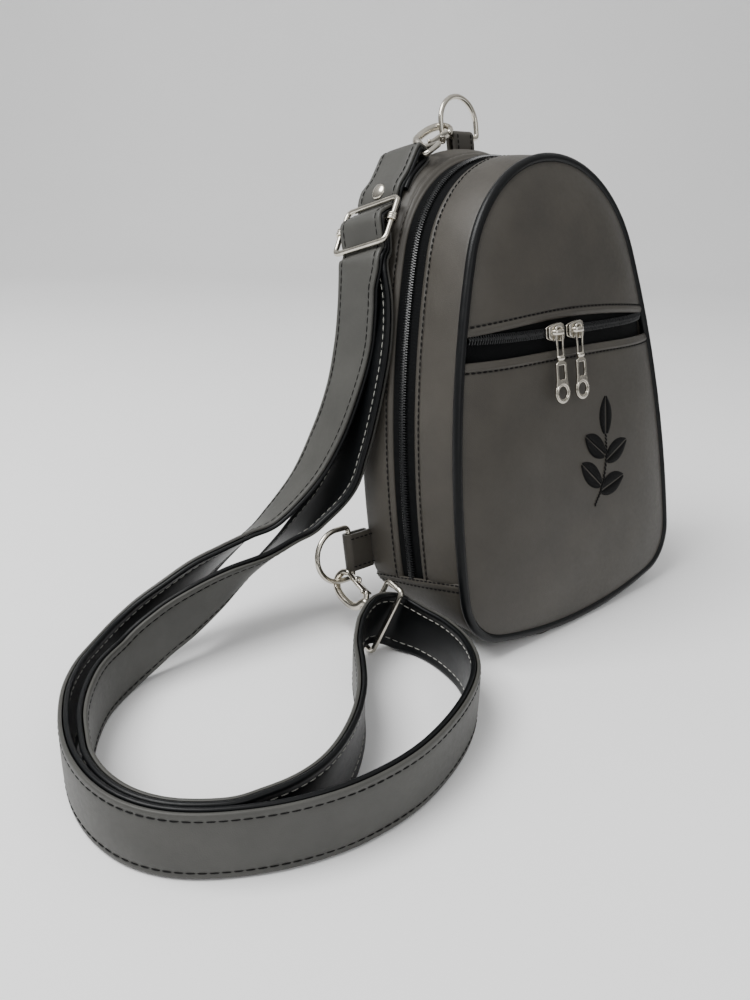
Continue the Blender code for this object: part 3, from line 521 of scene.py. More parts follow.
# ---- front of the bag ------------------------------------------------------------------
def front_panel(name, edge, sign, rise, drop, rows, replaced):
    """A front panel with a rolled, topstitched edge where it meets the pocket zip.

    The sign is 1 where that edge is the panel's top and -1 where it is its bottom.  The edge
    is bowed: it stands rise above its ends' level in the middle, and drop lower at the sides.
    """
    inset = 1.0
    far = BOTTOM_Z + inset if sign > 0 else TOP_Z - inset
    lip = 5.0
    seam = 3.4          # the topstitching runs this far from the edge
    roll = 1.3          # radius of the rolled edge
    crowd = 1 - np.cos(np.linspace(0, 1, rows) * math.pi / 2)
    heights = np.concatenate([far + (edge - sign * lip - far) * crowd,
                              np.linspace(edge - sign * lip, edge, 16)[1:]])
    across = np.sin(np.linspace(-1, 1, 90) * math.pi / 2)[None, :]

    def bowed(x, z):
        """Heights of the panel after its edge is bowed."""
        return z + (rise - drop * (x / 65.0) ** 2) * np.exp(-((z - edge) / 28.0) ** 2)

    level = np.repeat(heights[:, None], across.shape[1], axis=1)
    z = bowed(half_width(level, -inset) * across, level)
    z = np.clip(z, BOTTOM_Z + inset, TOP_Z - inset)
    x = half_width(z, -inset) * across
    y = panel_depth(x, z)
    y = y - ripple(lean(x, y, z), 34.0, 0.35, 2.7 + 1.4 * sign) * (1 - np.abs(across) ** 6)
    from_edge = np.abs(level - edge)
    y = y + 0.55 * np.exp(-((from_edge - seam) / 0.55) ** 2) - 0.6 * np.exp(-((from_edge - 1.5) / 1.3) ** 2)
    outer = lean(x, y, z)
    rim = outer[-1]
    turned = [rim + np.array([0.0, roll * (1 - math.cos(turn)), sign * roll * math.sin(turn)])
              for turn in np.radians((35, 70, 105, 140, 175))]
    turned.append(rim + np.array([0.0, 2.7, -sign * 3.0]))
    outer = np.concatenate([outer, turned])
    inner = np.concatenate([lean(x, y + 2.2, z), np.array(turned) + np.array([0.0, 0.35, -sign * 1.2])])
    inner[-7:-1] = rim + np.array([0.0, 2.4, -sign * 0.6])
    build = Build()
    build.shell(outer, inner)
    sewn = np.linspace(-1, 1, 60) * (half_width(edge - sign * seam) - 3.2)
    sewn_z = bowed(sewn, np.full(60, edge - sign * seam))
    line = lean(sewn, panel_depth(sewn, sewn_z) + 0.2, sewn_z)
    stitch_row(build, line, np.tile([0.0, -1.0, 0.2], (60, 1)), 1, radius=SEAM_THREAD, rise=SEAM_RISE)
    build.make(name, [GREY, BLACK_THREAD], "front", replaced)


def pocket_tapes(reach):
    """The pocket zip's two tapes, whose outer edges are tucked behind the panels."""
    x = np.linspace(-reach, reach, 80)
    spans = (("lower", POCKET_LOW - 4.0 - POCKET_Z, -0.05), ("upper", 0.05, POCKET_HIGH + 5.0 - POCKET_Z))
    for name, low, high in spans:
        z = np.linspace(POCKET_Z + low, POCKET_Z + high, 12)
        grid_x, grid_z = np.meshgrid(x, z)
        y = bow_y(grid_x) - 0.1 * np.cos((grid_z - POCKET_Z) * 2.2)
        build = Build()
        build.shell(lean(grid_x, y, grid_z), lean(grid_x, y + 0.7, grid_z))
        build.make("pocket_tape_" + name, [TAPE], "front", ["pocket_zip_tape_" + name])


def pocket_coil(reach):
    """The pocket zip's meshed coil."""
    places = np.arange(-reach + 1.0, reach - 1.0, PITCH)
    count = len(places)
    centres = lean(places, bow_y(places) - 1.5, np.full(count, POCKET_Z))
    along = np.tile([1.0, 0.0, 0.0], (count, 1))
    across = np.tile([0.0, LEAN, 1.0], (count, 1))
    outwards = np.tile([0.0, -1.0, LEAN], (count, 1))
    build = Build()
    coil_teeth(build, centres, along, across, outwards)
    build.make("pocket_coil", [COIL], "front", ["pocket_zip_coil"])


def lining_sheet(name, z, grid_x, depth, thick, seed, body, replaced):
    """A loose lining cloth across the bag at a depth."""
    grid_z = np.repeat(z[:, None], grid_x.shape[1], axis=1)
    y = depth + ripple(lean(grid_x, 0, grid_z), 26.0, 0.35, seed)
    build = Build()
    build.shell(lean(grid_x, y, grid_z), lean(grid_x, y + thick, grid_z))
    build.make(name, [LINING], body, [replaced])


def pocket_back():
    """The lining behind the pocket."""
    z = np.linspace(BOTTOM_Z + LINING_INSET, TOP_Z - LINING_INSET, 24)
    across = np.linspace(-1, 1, 20)
    grid_x = half_width(z, -LINING_INSET)[:, None] * across[None, :]
    lining_sheet("pocket_back", z, grid_x, -30.6, -0.8, 2.0, "front", "pocket_lining")


def coil_teeth(build, centres, along, across, outwards, halves=(-1, 1)):
    """Meshed coil: arched teeth from both sides that cross in the middle."""
    across = across / np.linalg.norm(across, axis=1)[:, None]
    profile = ((-2.45, -0.75, 0.30), (-2.35, 0.25, 0.36), (-1.3, 0.72, 0.40), (0.0, 0.78, 0.42),
               (0.85, 0.35, 0.44), (0.95, -0.45, 0.36))         # place across, height, radius
    turns = np.arange(5) * 2 * math.pi / 5
    for half in halves:
        shift = 0.25 * PITCH * half
        rings = []
        for place, height, radius in profile:
            slant = shift * (1 - place * 0.1)
            middle = centres + across * place * -half + outwards * height + along * slant
            ring = [middle + along * radius * math.cos(turn) + outwards * radius * math.sin(turn) * 0.9
                    for turn in turns]
            rings.append(np.stack(ring, axis=1))
        for tooth in np.stack(rings, axis=1):
            build.grid(tooth, 0, wrap_columns=True, caps=True)


def piping():
    """The black piping round the front panel."""
    points = np.concatenate([OUTLINE, (OUTLINE[1:-1] * MIRROR)[::-1]])
    loop = lean(points[:, 0], np.full(len(points), FRONT_Y), points[:, 1])
    wobble = ripple(loop, 9.0, 0.05, 3.0)
    build = Build()
    build.tube(loop, PIPING_RADIUS + wobble, 16, closed=True, side_hint=(0, 1, 0))
    build.make("piping", [BLACK], "front", ["front_piping"])


# ---- side of the bag -------------------------------------------------------------------
def seam_height(y):
    """Height of the cross seam at a depth of the upright bag."""
    return SEAM_Z - SEAM_SLOPE * np.asarray(y, float)


LOWEST_SEAM = float(seam_height(BACK_Y)) - 1.0


def sunk(points, y):
    """How far a side strip dives under the base strip past the cross seam."""
    return -3.6 * np.clip((seam_height(y) - points[:, 1]) / 2.4, 0, 1)


def gusset(name, body, y_zip, y_seam, seed, loft, replaced):
    """A side strip with a turned, topstitched edge along the zip and a seam at its far edge."""
    points, normals = side_line(2.0, LOWEST_SEAM)
    direction = math.copysign(1.0, y_seam - y_zip)
    width = abs(y_seam - y_zip)
    sewn = 3.1          # the topstitching runs this far from the zip's edge
    roll = 0.95         # radius of the rolled edge along the zip
    steps = np.concatenate([np.linspace(0, 5.5, 14), np.linspace(5.5, width - 3.0, 12)[1:],
                            np.linspace(width - 3.0, width, 7)[1:]])
    count = len(points)
    run = np.arange(count) * 2.0
    top = np.clip((points[:, 1] - 130.0) / 100.0, 0, 1) ** 2
    rows = []
    for turn in np.radians((175, 130, 90, 50, 20)):
        y = y_zip - direction * roll * math.sin(turn)
        offset = sunk(points, y) - roll * (1 - math.cos(turn))
        rows.append(on_side(points, normals, offset, np.full(count, y)))
    for step in steps:
        y = y_zip + direction * step
        calm = math.sin(math.pi * min(step / width, 1.0))
        groove = 0.5 * math.exp(-((step - sewn) / 0.55) ** 2)
        lip = 0.35 * math.exp(-((step - 1.3) / 1.1) ** 2)
        seam = 1.3 * math.exp(-((width - step) / 1.1) ** 2)
        pucker = 0.13 * np.sin(run * 0.9 + np.sin(run * 0.13) * 3) * math.exp(-((step - 3.6) / 2.6) ** 2)
        base = on_side(points, normals, np.zeros(count), np.full(count, y))
        waves = (ripple(base, 15.0, 0.42, seed) + ripple(base, 42.0, 0.4, seed + 1)) * calm
        puff = (0.9 + loft * top) * calm ** 0.7
        offset = puff - groove + lip - seam + waves + pucker + sunk(points, y)
        rows.append(on_side(points, normals, offset, np.full(count, y)))
    for y in (y_seam - direction * 1.0, y_zip + direction * 0.5):
        rows.append(on_side(points, normals, sunk(points, y) - 2.0, np.full(count, y)))
    build = Build()
    build.grid(np.array(rows), 0, wrap_rows=True)
    y = y_zip + direction * sewn
    above = points[:, 1] > seam_height(y) + 0.5
    line = on_side(points[above], normals[above], np.full(above.sum(), 0.5), np.full(above.sum(), y))
    stitch_row(build, line, side_normals(normals[above]), 1, radius=SEAM_THREAD, rise=SEAM_RISE)
    build.make(name, [GREY, BLACK_THREAD], body, replaced)


def main_zip_half(name, body, sign, replaced_tape, replaced_coil):
    """Half of the main zip: its tape, and its row of arched teeth."""
    points, normals = side_line(2.0, LOWEST_SEAM)
    count = len(points)
    rows = []
    for step in np.linspace(0.1, TAPE_REACH, 9):
        offset = -0.95 - 0.08 * math.cos(step * 2.4)
        y = ZIP_Y + sign * step
        rows.append(on_side(points, normals, offset + sunk(points, y), np.full(count, y)))
    for step in np.linspace(TAPE_REACH, 0.1, 3):
        y = ZIP_Y + sign * step
        rows.append(on_side(points, normals, sunk(points, y) - 1.75, np.full(count, y)))
    build = Build()
    build.grid(np.array(rows), 0, wrap_rows=True)
    build.make(name + "_tape", [TAPE], body, [replaced_tape])
    centres, ways = side_line(PITCH, SEAM_Z + 0.5)
    at = on_side(centres, ways, np.full(len(centres), 0.15), np.full(len(centres), ZIP_Y))
    build = Build()
    across = np.tile([0.0, 1.0, 0.0], (len(at), 1))
    coil_teeth(build, at, tangents(at), across, side_normals(ways), halves=(-sign,))
    build.make(name + "_coil", [COIL], body, [replaced_coil])


def base_line(top, count):
    """Outline of the base strip up to a height on both sides, with its normals."""
    keep = OUTLINE[:, 1] < top
    points = np.concatenate([[[float(half_width(top)), top]], OUTLINE[keep]])
    normals = np.concatenate([OUTLINE_NORMALS[keep][:1], OUTLINE_NORMALS[keep]])
    swell = PIPING_RADIUS * np.clip((top - points[:, 1]) / (top - 6.0), 0, 1)
    points = points + normals * swell[:, None]
    floor = points[:, 0] < FLAT_HALF + 12
    points[floor, 1] *= np.clip((points[floor, 0] - FLAT_HALF) / 12, 0, 1) ** 2
    points[:, 1] = np.maximum(points[:, 1], 0.0)
    line = np.concatenate([points, (points[:-1] * MIRROR)[::-1]])
    ways = np.concatenate([normals, (normals[:-1] * MIRROR)[::-1]])
    line, ways = resample(line, count=count, others=(ways,))
    return line, ways / np.linalg.norm(ways, axis=1)[:, None]


def base_gusset():
    """The base strip, whose turned top edge laps over the ends of the zipped side."""
    y_front = FRONT_Y + 1.2
    depths = np.linspace(y_front, BACK_Y, 30)
    count = 170
    lap_height = 1.6
    rows = []
    sewn = {(distance, end): [] for distance in (0.8, 4.4) for end in (1, -1)}
    for y in depths:
        line, ways = base_line(float(seam_height(y)) + lap_height, count)
        reach = np.concatenate([[0], np.cumsum(np.linalg.norm(np.diff(line, axis=0), axis=1))])
        from_end = np.minimum(reach, reach[-1] - reach)
        lap = 1.5 * np.exp(-(from_end / 7.0) ** 2) + 0.3 * np.exp(-((from_end - 2.2) / 1.2) ** 2)
        groove = 0.5 * np.exp(-((from_end - 4.4) / 0.6) ** 2) + 0.9 * np.exp(-(from_end / 0.7) ** 2)
        side = 1.2 * math.exp(-((y - y_front) / 1.2) ** 2) + 1.2 * math.exp(-((BACK_Y - y) / 1.2) ** 2)
        base = on_side(line, ways, np.zeros(count), np.full(count, y))
        off_floor = np.clip(line[:, 1] / 8.0, 0, 1)
        waves = ripple(base, 20.0, 0.4, 6.0) * math.sin(math.pi * (y - y_front) / (BACK_Y - y_front))
        offset = lap - groove + off_floor * (waves - side)
        rows.append(on_side(line, ways, offset, np.full(count, y)))
        for (distance, end), path in sewn.items():
            place_on = distance if end > 0 else reach[-1] - distance
            path.append([np.interp(place_on, reach, column) for column in rows[-1].T])
    for y in (BACK_Y - 0.8, y_front + 0.8):
        line, ways = base_line(float(seam_height(y)) + lap_height, count)
        rows.append(on_side(line, ways, np.full(count, -1.2), np.full(count, y)))
    build = Build()
    build.grid(np.array(rows), 0, wrap_rows=True)
    for (distance, end), path in sewn.items():
        normals = np.tile([float(end), 0.0, 0.1], (len(path) - 2, 1))
        stitch_row(build, np.array(path[1:-1]), normals, 1, radius=SEAM_THREAD, rise=SEAM_RISE)
    build.make("base_strip", [GREY, BLACK_THREAD], None, ["base_gusset"])


def back_of_bag():
    """The padded back panel and the lining in front of it."""
    z = BOTTOM_Z + 0.5 + (TOP_Z - BOTTOM_Z - 0.8) * (1 - np.cos(np.linspace(0, math.pi, 70))) / 2
    across = np.sin(np.linspace(-1, 1, 60) * math.pi / 2)[None, :]
    grid_x = half_width(z, -0.4)[:, None] * across
    grid_z = np.repeat(z[:, None], across.shape[1], axis=1)
    upright = (grid_z - 125.0) / 122.2
    border = (1 - np.abs(across) ** 16) * (1 - np.minimum(np.abs(upright), 1) ** 24)
    y = BACK_Y + 0.2 + 1.6 * border + BACK_BULGE * swell_share(across, upright)
    y = y + ripple(lean(grid_x, y, grid_z), 38.0, 0.4, 9.0) * border
    build = Build()
    build.shell(lean(grid_x, y, grid_z), lean(grid_x * 0.985, np.full_like(y, BACK_Y - 0.6), grid_z))
    build.make("back_padding", [GREY], "back", ["back_panel"])
    grid_x = half_width(z, -LINING_INSET)[:, None] * across * 0.99
    lining_sheet("back_lining_cloth", z, grid_x, 33.6, 0.9, 5.0, "back", "back_lining")


# ---- placements ------------------------------------------------------------------------
def frame_at(origin, x_axis, y_axis):
    """A placement in millimetres: its origin and its axes as rows."""
    first = np.asarray(x_axis, float) / np.linalg.norm(x_axis)
    third = np.cross(first, np.asarray(y_axis, float))
    third /= np.linalg.norm(third)
    second = np.cross(third, first)
    return np.asarray(origin, float), np.array([first, second, third])


def place(frame_of, points):
    """Points of a placement's own axes, in the bag's axes."""
    origin, axes = frame_of
    return origin + np.asarray(points, float) @ axes


UP_LEAN = np.array([0.0, LEAN, 1.0]) / math.hypot(LEAN, 1.0)
WIRE = 1.5                  # radius of the ring, loop and slider wire
RING_HALF = 14.5            # D-ring, half width on its centre line
RING_STRAIGHT = 8.0
RING_CORNER = 2.2
HOOK_REACH = 23.3           # hook base to the point where the ring's wire sits
LOOP_DEPTH = 12.0
LEVER_HINGE = (-4.1, 4.6)   # where a hook's lever turns, in the hook's own plane
SLIDER_HALF_WIDTH = 18.5
SLIDER_HALF_HEIGHT = 14.0
TOP_HOOK_LOOP = np.array([-38.6, 87.0, 244.1])
LOWER_HOOK_LOOP = np.array([-115.7, 2.5, 18.9])
RINGS = {"top": frame_at((10.0, 92.0, 257.8), (1, 0, 0), UP_LEAN),
         "lower": frame_at((-105.5, 45.8, 40.6), UP_LEAN, (-1, 0.02, 0))}


def hook_frame(name):
    """Placement of a snap hook: y towards its nose, x across its jaws."""
    if name == "top":
        ring = place(RINGS["top"], (-RING_HALF, 3.6, 0.0))
        loop, across = TOP_HOOK_LOOP, np.array([-0.2, 0.88, 0.2])
    else:
        ring = place(RINGS["lower"], (-RING_HALF, 7.6, 0.0))
        loop, across = LOWER_HOOK_LOOP, np.array([-0.45, 0.0, -0.85])
    nose = (ring - loop) / np.linalg.norm(ring - loop)
    base = ring - nose * HOOK_REACH
    return frame_at(base, across - nose * (across @ nose), nose)


def loop_frame(name):
    """Placement of a hook's strap loop: x along its bars, y towards the hook."""
    nose = hook_frame(name)[1][1]
    if name == "top":
        origin, bar = TOP_HOOK_LOOP, np.array([-0.1, 1.0, -0.25])
    else:
        origin, bar = LOWER_HOOK_LOOP, np.array([0.36, -0.18, 0.91])
    return frame_at(origin, bar - nose * (bar @ nose), nose)


def slider_frame():
    """Placement of the strap slider: x across the strap, y up along it, z outwards."""
    up = np.array([0.59, 0.32, 0.74])
    across = np.array([0.12, -0.96, 0.26])
    return frame_at((-72.5, 77.5, 211.0), across - up * (across @ up) / (up @ up), up)


def arc(centre, radius, start, end, steps):
    """Points of an arc in a placement's own plane."""
    turn = np.radians(np.linspace(start, end, steps))
    return np.stack([centre[0] + radius * np.cos(turn), centre[1] + radius * np.sin(turn), 0 * turn], axis=1)


def rounded_loop(half_x, low_y, high_y, corner, steps=9):
    """A rounded rectangle in a placement's own plane."""
    pieces = []
    for x, y, start in ((1, high_y - corner, 0), (-1, high_y - corner, 90),
                        (-1, low_y + corner, 180), (1, low_y + corner, 270)):
        pieces.append(arc((x * (half_x - corner), y), corner, start, start + 90, steps))
    loop = np.concatenate(pieces)
    return resample(np.concatenate([loop, loop[:1]]), step=1.0)[:-1]


# ---- hardware --------------------------------------------------------------------------
def d_ring(name):
    """A D-ring of round wire, its butt joint at the middle of the bar."""
    bar_end = RING_HALF - RING_CORNER
    points = np.concatenate([[(0.0, 0.0, 0.0)], [(bar_end, 0.0, 0.0)],
                             arc((bar_end, RING_CORNER), RING_CORNER, -80, 0, 7),
                             arc((0.0, RING_STRAIGHT), RING_HALF, 0, 180, 50),
                             arc((-bar_end, RING_CORNER), RING_CORNER, 180, 260, 7),
                             [(-bar_end, 0.0, 0.0)], [(0.0, 0.0, 0.0)]])
    points = resample(points, step=1.0)[:-1]
    build = Build()
    build.tube(place(RINGS[name], points), WIRE, 16, closed=True, side_hint=RINGS[name][1][2])
    build.make(name + "_d_ring_wire", [NICKEL], name + "_d_ring", [name + "_ring"])


def ring_tab(name, length, root):
    """The folded leather tab that holds a ring, topstitched across near both ends."""
    inner = WIRE + 0.35
    thick = 1.7
    outer = inner + thick
    turns = np.radians(np.linspace(90, -90, 16))
    profile = [(-root, outer * 0.82)]
    profile += [(-step, outer) for step in (root * 0.6, root * 0.3)]
    profile += [(outer * math.cos(turn), outer * math.sin(turn)) for turn in turns]
    profile += [(-step, -outer) for step in (root * 0.3, root * 0.6)] + [(-root, -outer * 0.82)]
    profile += [(-root, -0.4)] + [(-step, -inner * 0.75) for step in (root * 0.6, root * 0.3)]
    profile += [(inner * math.cos(turn), inner * math.sin(turn)) for turn in turns[::-1]]
    profile += [(-step, inner * 0.75) for step in (root * 0.3, root * 0.6)] + [(-root, 0.4)]
    profile = np.array(profile)
    half = length / 2
    mid = (inner + outer) / 2
    from_bar = np.linalg.norm(np.stack([np.maximum(profile[:, 0], 0), profile[:, 1]], axis=1), axis=1)
    bent = profile[:, 0] > 0
    rows = []
    for across, tuck in ((-half, 0.86), (-half + 0.25, 0.95), (-half + 0.8, 1.0), (-half / 3, 1.0),
                         (half / 3, 1.0), (half - 0.8, 1.0), (half - 0.25, 0.95), (half, 0.86)):
        section = profile.copy()
        scale = (mid + (from_bar - mid) * tuck) / np.maximum(from_bar, 0.3)
        section[:, 1] *= scale
        section[bent, 0] *= scale[bent]
        rows.append(np.stack([np.full(len(section), across), section[:, 0], section[:, 1]], axis=1))
    rows = np.array(rows)
    build = Build()
    build.grid(place(RINGS[name], rows), 0, wrap_columns=True)
    count = len(profile)
    cap = [(index, index + 1, count - 2 - index, count - 1 - index) for index in range(count // 2 - 1)]
    for end in (0, -1):
        build.add(place(RINGS[name], rows[end]), cap)
    for side in (-1, 1):
        for across in (-half + 2.6, half - 2.6):
            line = np.array([(across, along, side * (outer + 0.02))
                             for along in np.linspace(-root + 0.5, 0.0, 12)])
            up = np.tile(RINGS[name][1][2] * side, (12, 1))
            stitch_row(build, place(RINGS[name], line), up, 1, pitch=3.0)
    build.make(name + "_ring_tab", [GREY, BLACK_THREAD], "back", [name + "_tab"])


def turned_ring(radius, sides):
    """Places round a circle in a plane, as pairs."""
    return [(radius * math.cos(turn), radius * math.sin(turn))
            for turn in np.linspace(0, 2 * math.pi, sides, endpoint=False)]


def hook_loop(name, loop):
    """The wire loop that the strap goes through."""
    wire = rounded_loop(SLIDER_HALF_WIDTH, 0.0, LOOP_DEPTH, 2.0)
    build = Build()
    build.tube(place(loop, wire), WIRE, 16, closed=True, side_hint=loop[1][2])
    build.make(name + "_loop_wire", [NICKEL], "back", [name + "_hook_loop"])


def hook_collar(name, loop, hook):
    """The turned swivel between the strap loop and the jaw."""
    inner_bar = place(loop, (0.0, LOOP_DEPTH, 0.0))
    low = -np.linalg.norm(hook[0] - inner_bar)
    profile = [(low - 1.9, 1.4), (low - 1.7, 2.3), (low + 0.6, 2.7), (low + 1.6, 2.4), (low + 2.2, 3.0),
               (-1.6, 3.2), (-0.7, 3.0), (-0.4, 2.3), (-0.35, 1.0)]
    rows = [place(hook, [(x, along, z) for x, z in turned_ring(radius, 24)]) for along, radius in profile]
    build = Build()
    build.grid(np.array(rows), 0, wrap_columns=True)
    build.make(name + "_collar_turned", [NICKEL], "back", [name + "_hook_collar"])


def hook_jaw(name, hook):
    """The cast jaw that curls round the ring, with the lug and pin of its lever."""
    jaw = smooth_path([(0.0, 0.2, 0), (0.0, 1.6, 0), (1.6, 3.0, 0), (4.4, 4.4, 0), (6.4, 7.2, 0),
                       (7.1, 12.0, 0), (7.0, 17.0, 0), (6.2, 21.4, 0), (4.4, 24.9, 0), (1.6, 27.0, 0),
                       (-1.6, 27.2, 0), (-4.3, 25.6, 0), (-5.8, 22.6, 0)], 6)
    share = np.linspace(0, 1, len(jaw))
    radius = np.interp(share, (0, 0.05, 0.2, 0.5, 0.85, 1.0), (1.9, 2.1, 2.3, 2.15, 1.9, 1.7))
    build = Build()
    build.tube(place(hook, jaw), radius, 18, flat=1.12, side_hint=hook[1][2])
    lug = smooth_path([(0.0, 1.0, 0), (-1.6, 2.4, 0), (-3.2, 3.4, 0), (-4.3, 4.4, 0)], 5)
    build.tube(place(hook, lug), 1.7, 14, side_hint=hook[1][2])
    pin = [(*LEVER_HINGE, -3.2), (*LEVER_HINGE, 3.2)]
    build.tube(place(hook, pin), 1.05, 14, side_hint=hook[1][0])
    build.make(name + "_jaw_cast", [NICKEL], name + "_hook", [name + "_hook_jaw"])


def hook_lever(name, hook):
    """The flat sprung lever that closes the jaw, with its wire thumb piece."""
    rows = []
    for along, offset in ((4.8, -4.2), (8.0, -4.6), (12.0, -4.9), (16.0, -5.3), (20.2, -5.7)):
        width = 3.0 if along < 18 else 2.4
        section = [(-width, -0.5), (-width + 0.4, -0.9), (width - 0.4, -0.9), (width, -0.5),
                   (width, 0.5), (width - 0.4, 0.9), (-width + 0.4, 0.9), (-width, 0.5)]
        rows.append([(offset + depth, along, across) for across, depth in section])
    rows = np.array(rows)
    ends = [row.mean(axis=0, keepdims=True).repeat(len(row), axis=0)[None] for row in (rows[0], rows[-1])]
    build = Build()
    build.grid(place(hook, np.concatenate([ends[0], rows, ends[1]])), 0, wrap_columns=True)
    thumb = smooth_path([(-6.0, 13.2, -1.7), (-7.3, 14.4, -1.7), (-7.5, 14.8, 0.0), (-7.3, 14.4, 1.7),
                         (-6.0, 13.2, 1.7)], 4)
    build.tube(place(hook, thumb), 0.7, 10, side_hint=hook[1][0])
    build.make(name + "_lever_flat", [NICKEL], name + "_lever", [name + "_hook_lever"])


def snap_hook(name):
    """A swivelling snap hook: strap loop, collar, cast jaw and flat sprung lever."""
    loop = loop_frame(name)
    hook = hook_frame(name)
    hook_loop(name, loop)
    hook_collar(name, loop, hook)
    hook_jaw(name, hook)
    hook_lever(name, hook)


def strap_slider():
    """The rectangular slider of bent wire, and the bar whose ends wrap round its sides."""
    where = slider_frame()
    build = Build()
    loop = rounded_loop(SLIDER_HALF_WIDTH, -SLIDER_HALF_HEIGHT, SLIDER_HALF_HEIGHT, 3.4)
    build.tube(place(where, loop), WIRE, 16, closed=True, side_hint=where[1][2])
    build.make("slider_wire", [NICKEL], "back", ["strap_slider_frame"])
    build = Build()
    bar = np.array([(-SLIDER_HALF_WIDTH + 1.0, 0.0, 0.0), (SLIDER_HALF_WIDTH - 1.0, 0.0, 0.0)])
    build.tube(place(where, resample(bar, step=1.5)), 1.45, 16, side_hint=where[1][2])
    for side in (-1, 1):
        for shift in (-1.35, 0.0, 1.35):
            ring = [(side * SLIDER_HALF_WIDTH + x, shift, z) for x, z in turned_ring(2.2, 20)]
            build.tube(place(where, ring), 0.75, 8, closed=True, side_hint=where[1][1])
    build.make("slider_bar_wrapped", [NICKEL], "back", ["strap_slider_bar"])


def smooth_path(points, pieces):
    """A Catmull-Rom curve through points."""
    points = np.asarray(points, float)
    padded = np.concatenate([points[:1] * 2 - points[1:2], points, points[-1:] * 2 - points[-2:-1]])
    made = []
    for index in range(len(points) - 1):
        before, start, end, after = padded[index:index + 4]
        for share in np.arange(pieces) / pieces:
            made.append(0.5 * (2 * start + (end - before) * share
                               + (2 * before - 5 * start + 4 * end - after) * share ** 2
                               + (3 * start - before - 3 * end + after) * share ** 3))
    made.append(points[-1])
    return np.array(made)


# ---- zip sliders -----------------------------------------------------------------------
def cut_plate(loops, thick, bevel):
    """Points and faces of a flat plate with holes and rounded edges, in its own plane."""
    curve = bpy.data.curves.new("plate", "CURVE")
    curve.dimensions = "2D"
    curve.fill_mode = "BOTH"
    curve.extrude = (thick / 2 - bevel) * MM
    curve.bevel_depth = bevel * MM
    curve.bevel_resolution = 2
    curve.offset = -bevel * MM
    for loop in loops:
        spline = curve.splines.new("POLY")
        spline.points.add(len(loop) - 1)
        for point, (x, y) in zip(spline.points, loop):
            point.co = (x * MM, y * MM, 0.0, 1.0)
        spline.use_cyclic_u = True
    guide = bpy.data.objects.new("plate", curve)
    bpy.context.scene.collection.objects.link(guide)
    bpy.context.view_layer.update()
    graph = bpy.context.evaluated_depsgraph_get()
    mesh = bpy.data.meshes.new_from_object(guide.evaluated_get(graph))
    bpy.data.objects.remove(guide, do_unlink=True)
    shape = bmesh.new()
    shape.from_mesh(mesh)
    bmesh.ops.remove_doubles(shape, verts=shape.verts, dist=0.01 * MM)
    points = np.array([vert.co for vert in shape.verts]) / MM
    shape.verts.index_update()
    faces = [tuple(vert.index for vert in face.verts) for face in shape.faces]
    shape.free()
    bpy.data.meshes.remove(mesh)
    return points, faces


def circle(radius, centre=0.0, steps=28):
    """Points of a circle on a plate's middle line."""
    turn = np.arange(steps) * 2 * math.pi / steps
    return [(radius * math.cos(angle), centre + radius * math.sin(angle)) for angle in turn]


def mirrored_loop(half):
    """A closed outline from its right half, whose ends lie on the middle line."""
    return half + [(-x, y) for x, y in half[-2:0:-1]]


QUARTER_TURN = np.array([[0.0, 1.0, 0.0], [-1.0, 0.0, 0.0], [0.0, 0.0, 1.0]])
PULL_OUT = 4.65             # links and pulls lie this far out of their slider's zip
PULL_EYE = -13.2            # where the pull's barrel sits, down from its slider
PULL_RING = -31.2           # and where its ring has its middle


def slider_cast(name, where, upright):
    """A slider's plates, neck and crown; an upright one runs along its placement's y."""
    origin, axes = where
    body = (origin, QUARTER_TURN @ axes if upright else axes)
    wings = [(-6.0, -2.6), (-4.6, -3.5), (-1.0, -4.3), (3.2, -4.9), (5.2, -4.0), (6.1, -1.6), (4.6, 0.0),
             (6.1, 1.6), (5.2, 4.0), (3.2, 4.9), (-1.0, 4.3), (-4.6, 3.5), (-6.0, 2.6)]
    neck = [(2.6, -1.0), (5.0, -0.6), (5.0, 0.6), (2.6, 1.0)]
    build = Build()
    plates = ((wings, 1.05, 1.1, 0.45), (wings, 2.85, 1.5, 0.45), (neck, 1.9, 2.6, 0.2))
    for outline, height, thick, bevel in plates:
        points, faces = cut_plate([outline], thick, bevel)
        points[:, 2] += height
        build.add(place(body, points), faces)
    middle = 2.0 if upright else 0.0
    crown = smooth_path([(middle - 4.1, 0, 3.1), (middle - 3.7, 0, 4.6), (middle - 2.6, 0, 5.75),
                         (middle, 0, 6.2), (middle + 2.2, 0, 5.75), (middle + 3.4, 0, 4.6),
                         (middle + 3.8, 0, 3.1)], 5)
    section = [(-1.35, 0.1), (-1.1, 0.38), (1.1, 0.38), (1.35, 0.1), (1.35, -0.1), (1.1, -0.38),
               (-1.1, -0.38), (-1.35, -0.1)]
    rows = []
    for point, way in zip(crown, tangents(crown)):
        up = np.cross(way, (0, 1, 0))
        up *= math.copysign(1.0, up[2] if abs(up[2]) > 0.05 else 1.0)
        rows.append([point + np.array([0, 1, 0]) * side + up * out for side, out in section])
    build.grid(place(body, np.array(rows)), wrap_columns=True, caps=True)
    build.make(name + "_slider_cast", [NICKEL], name + "_runner", [name + "_slider"])


def slider_link(name, where):
    """The wire link between a slider's crown and its pull."""
    half = [(0.0, 3.0), (1.5, 2.7), (2.3, 1.5), (2.4, -2.0), (2.1, -7.0), (2.2, -10.5), (2.1, -12.5),
            (1.2, -13.5), (0.0, -13.7)]
    loop = [(x, y, PULL_OUT) for x, y in mirrored_loop(half)]
    loop = resample(smooth_path(loop + loop[:1], 5), step=0.5)[:-1]
    build = Build()
    build.tube(place(where, loop), 0.64, 12, closed=True, side_hint=where[1][2])
    build.make(name + "_link_wire", [NICKEL], name + "_ring", [name + "_link"])


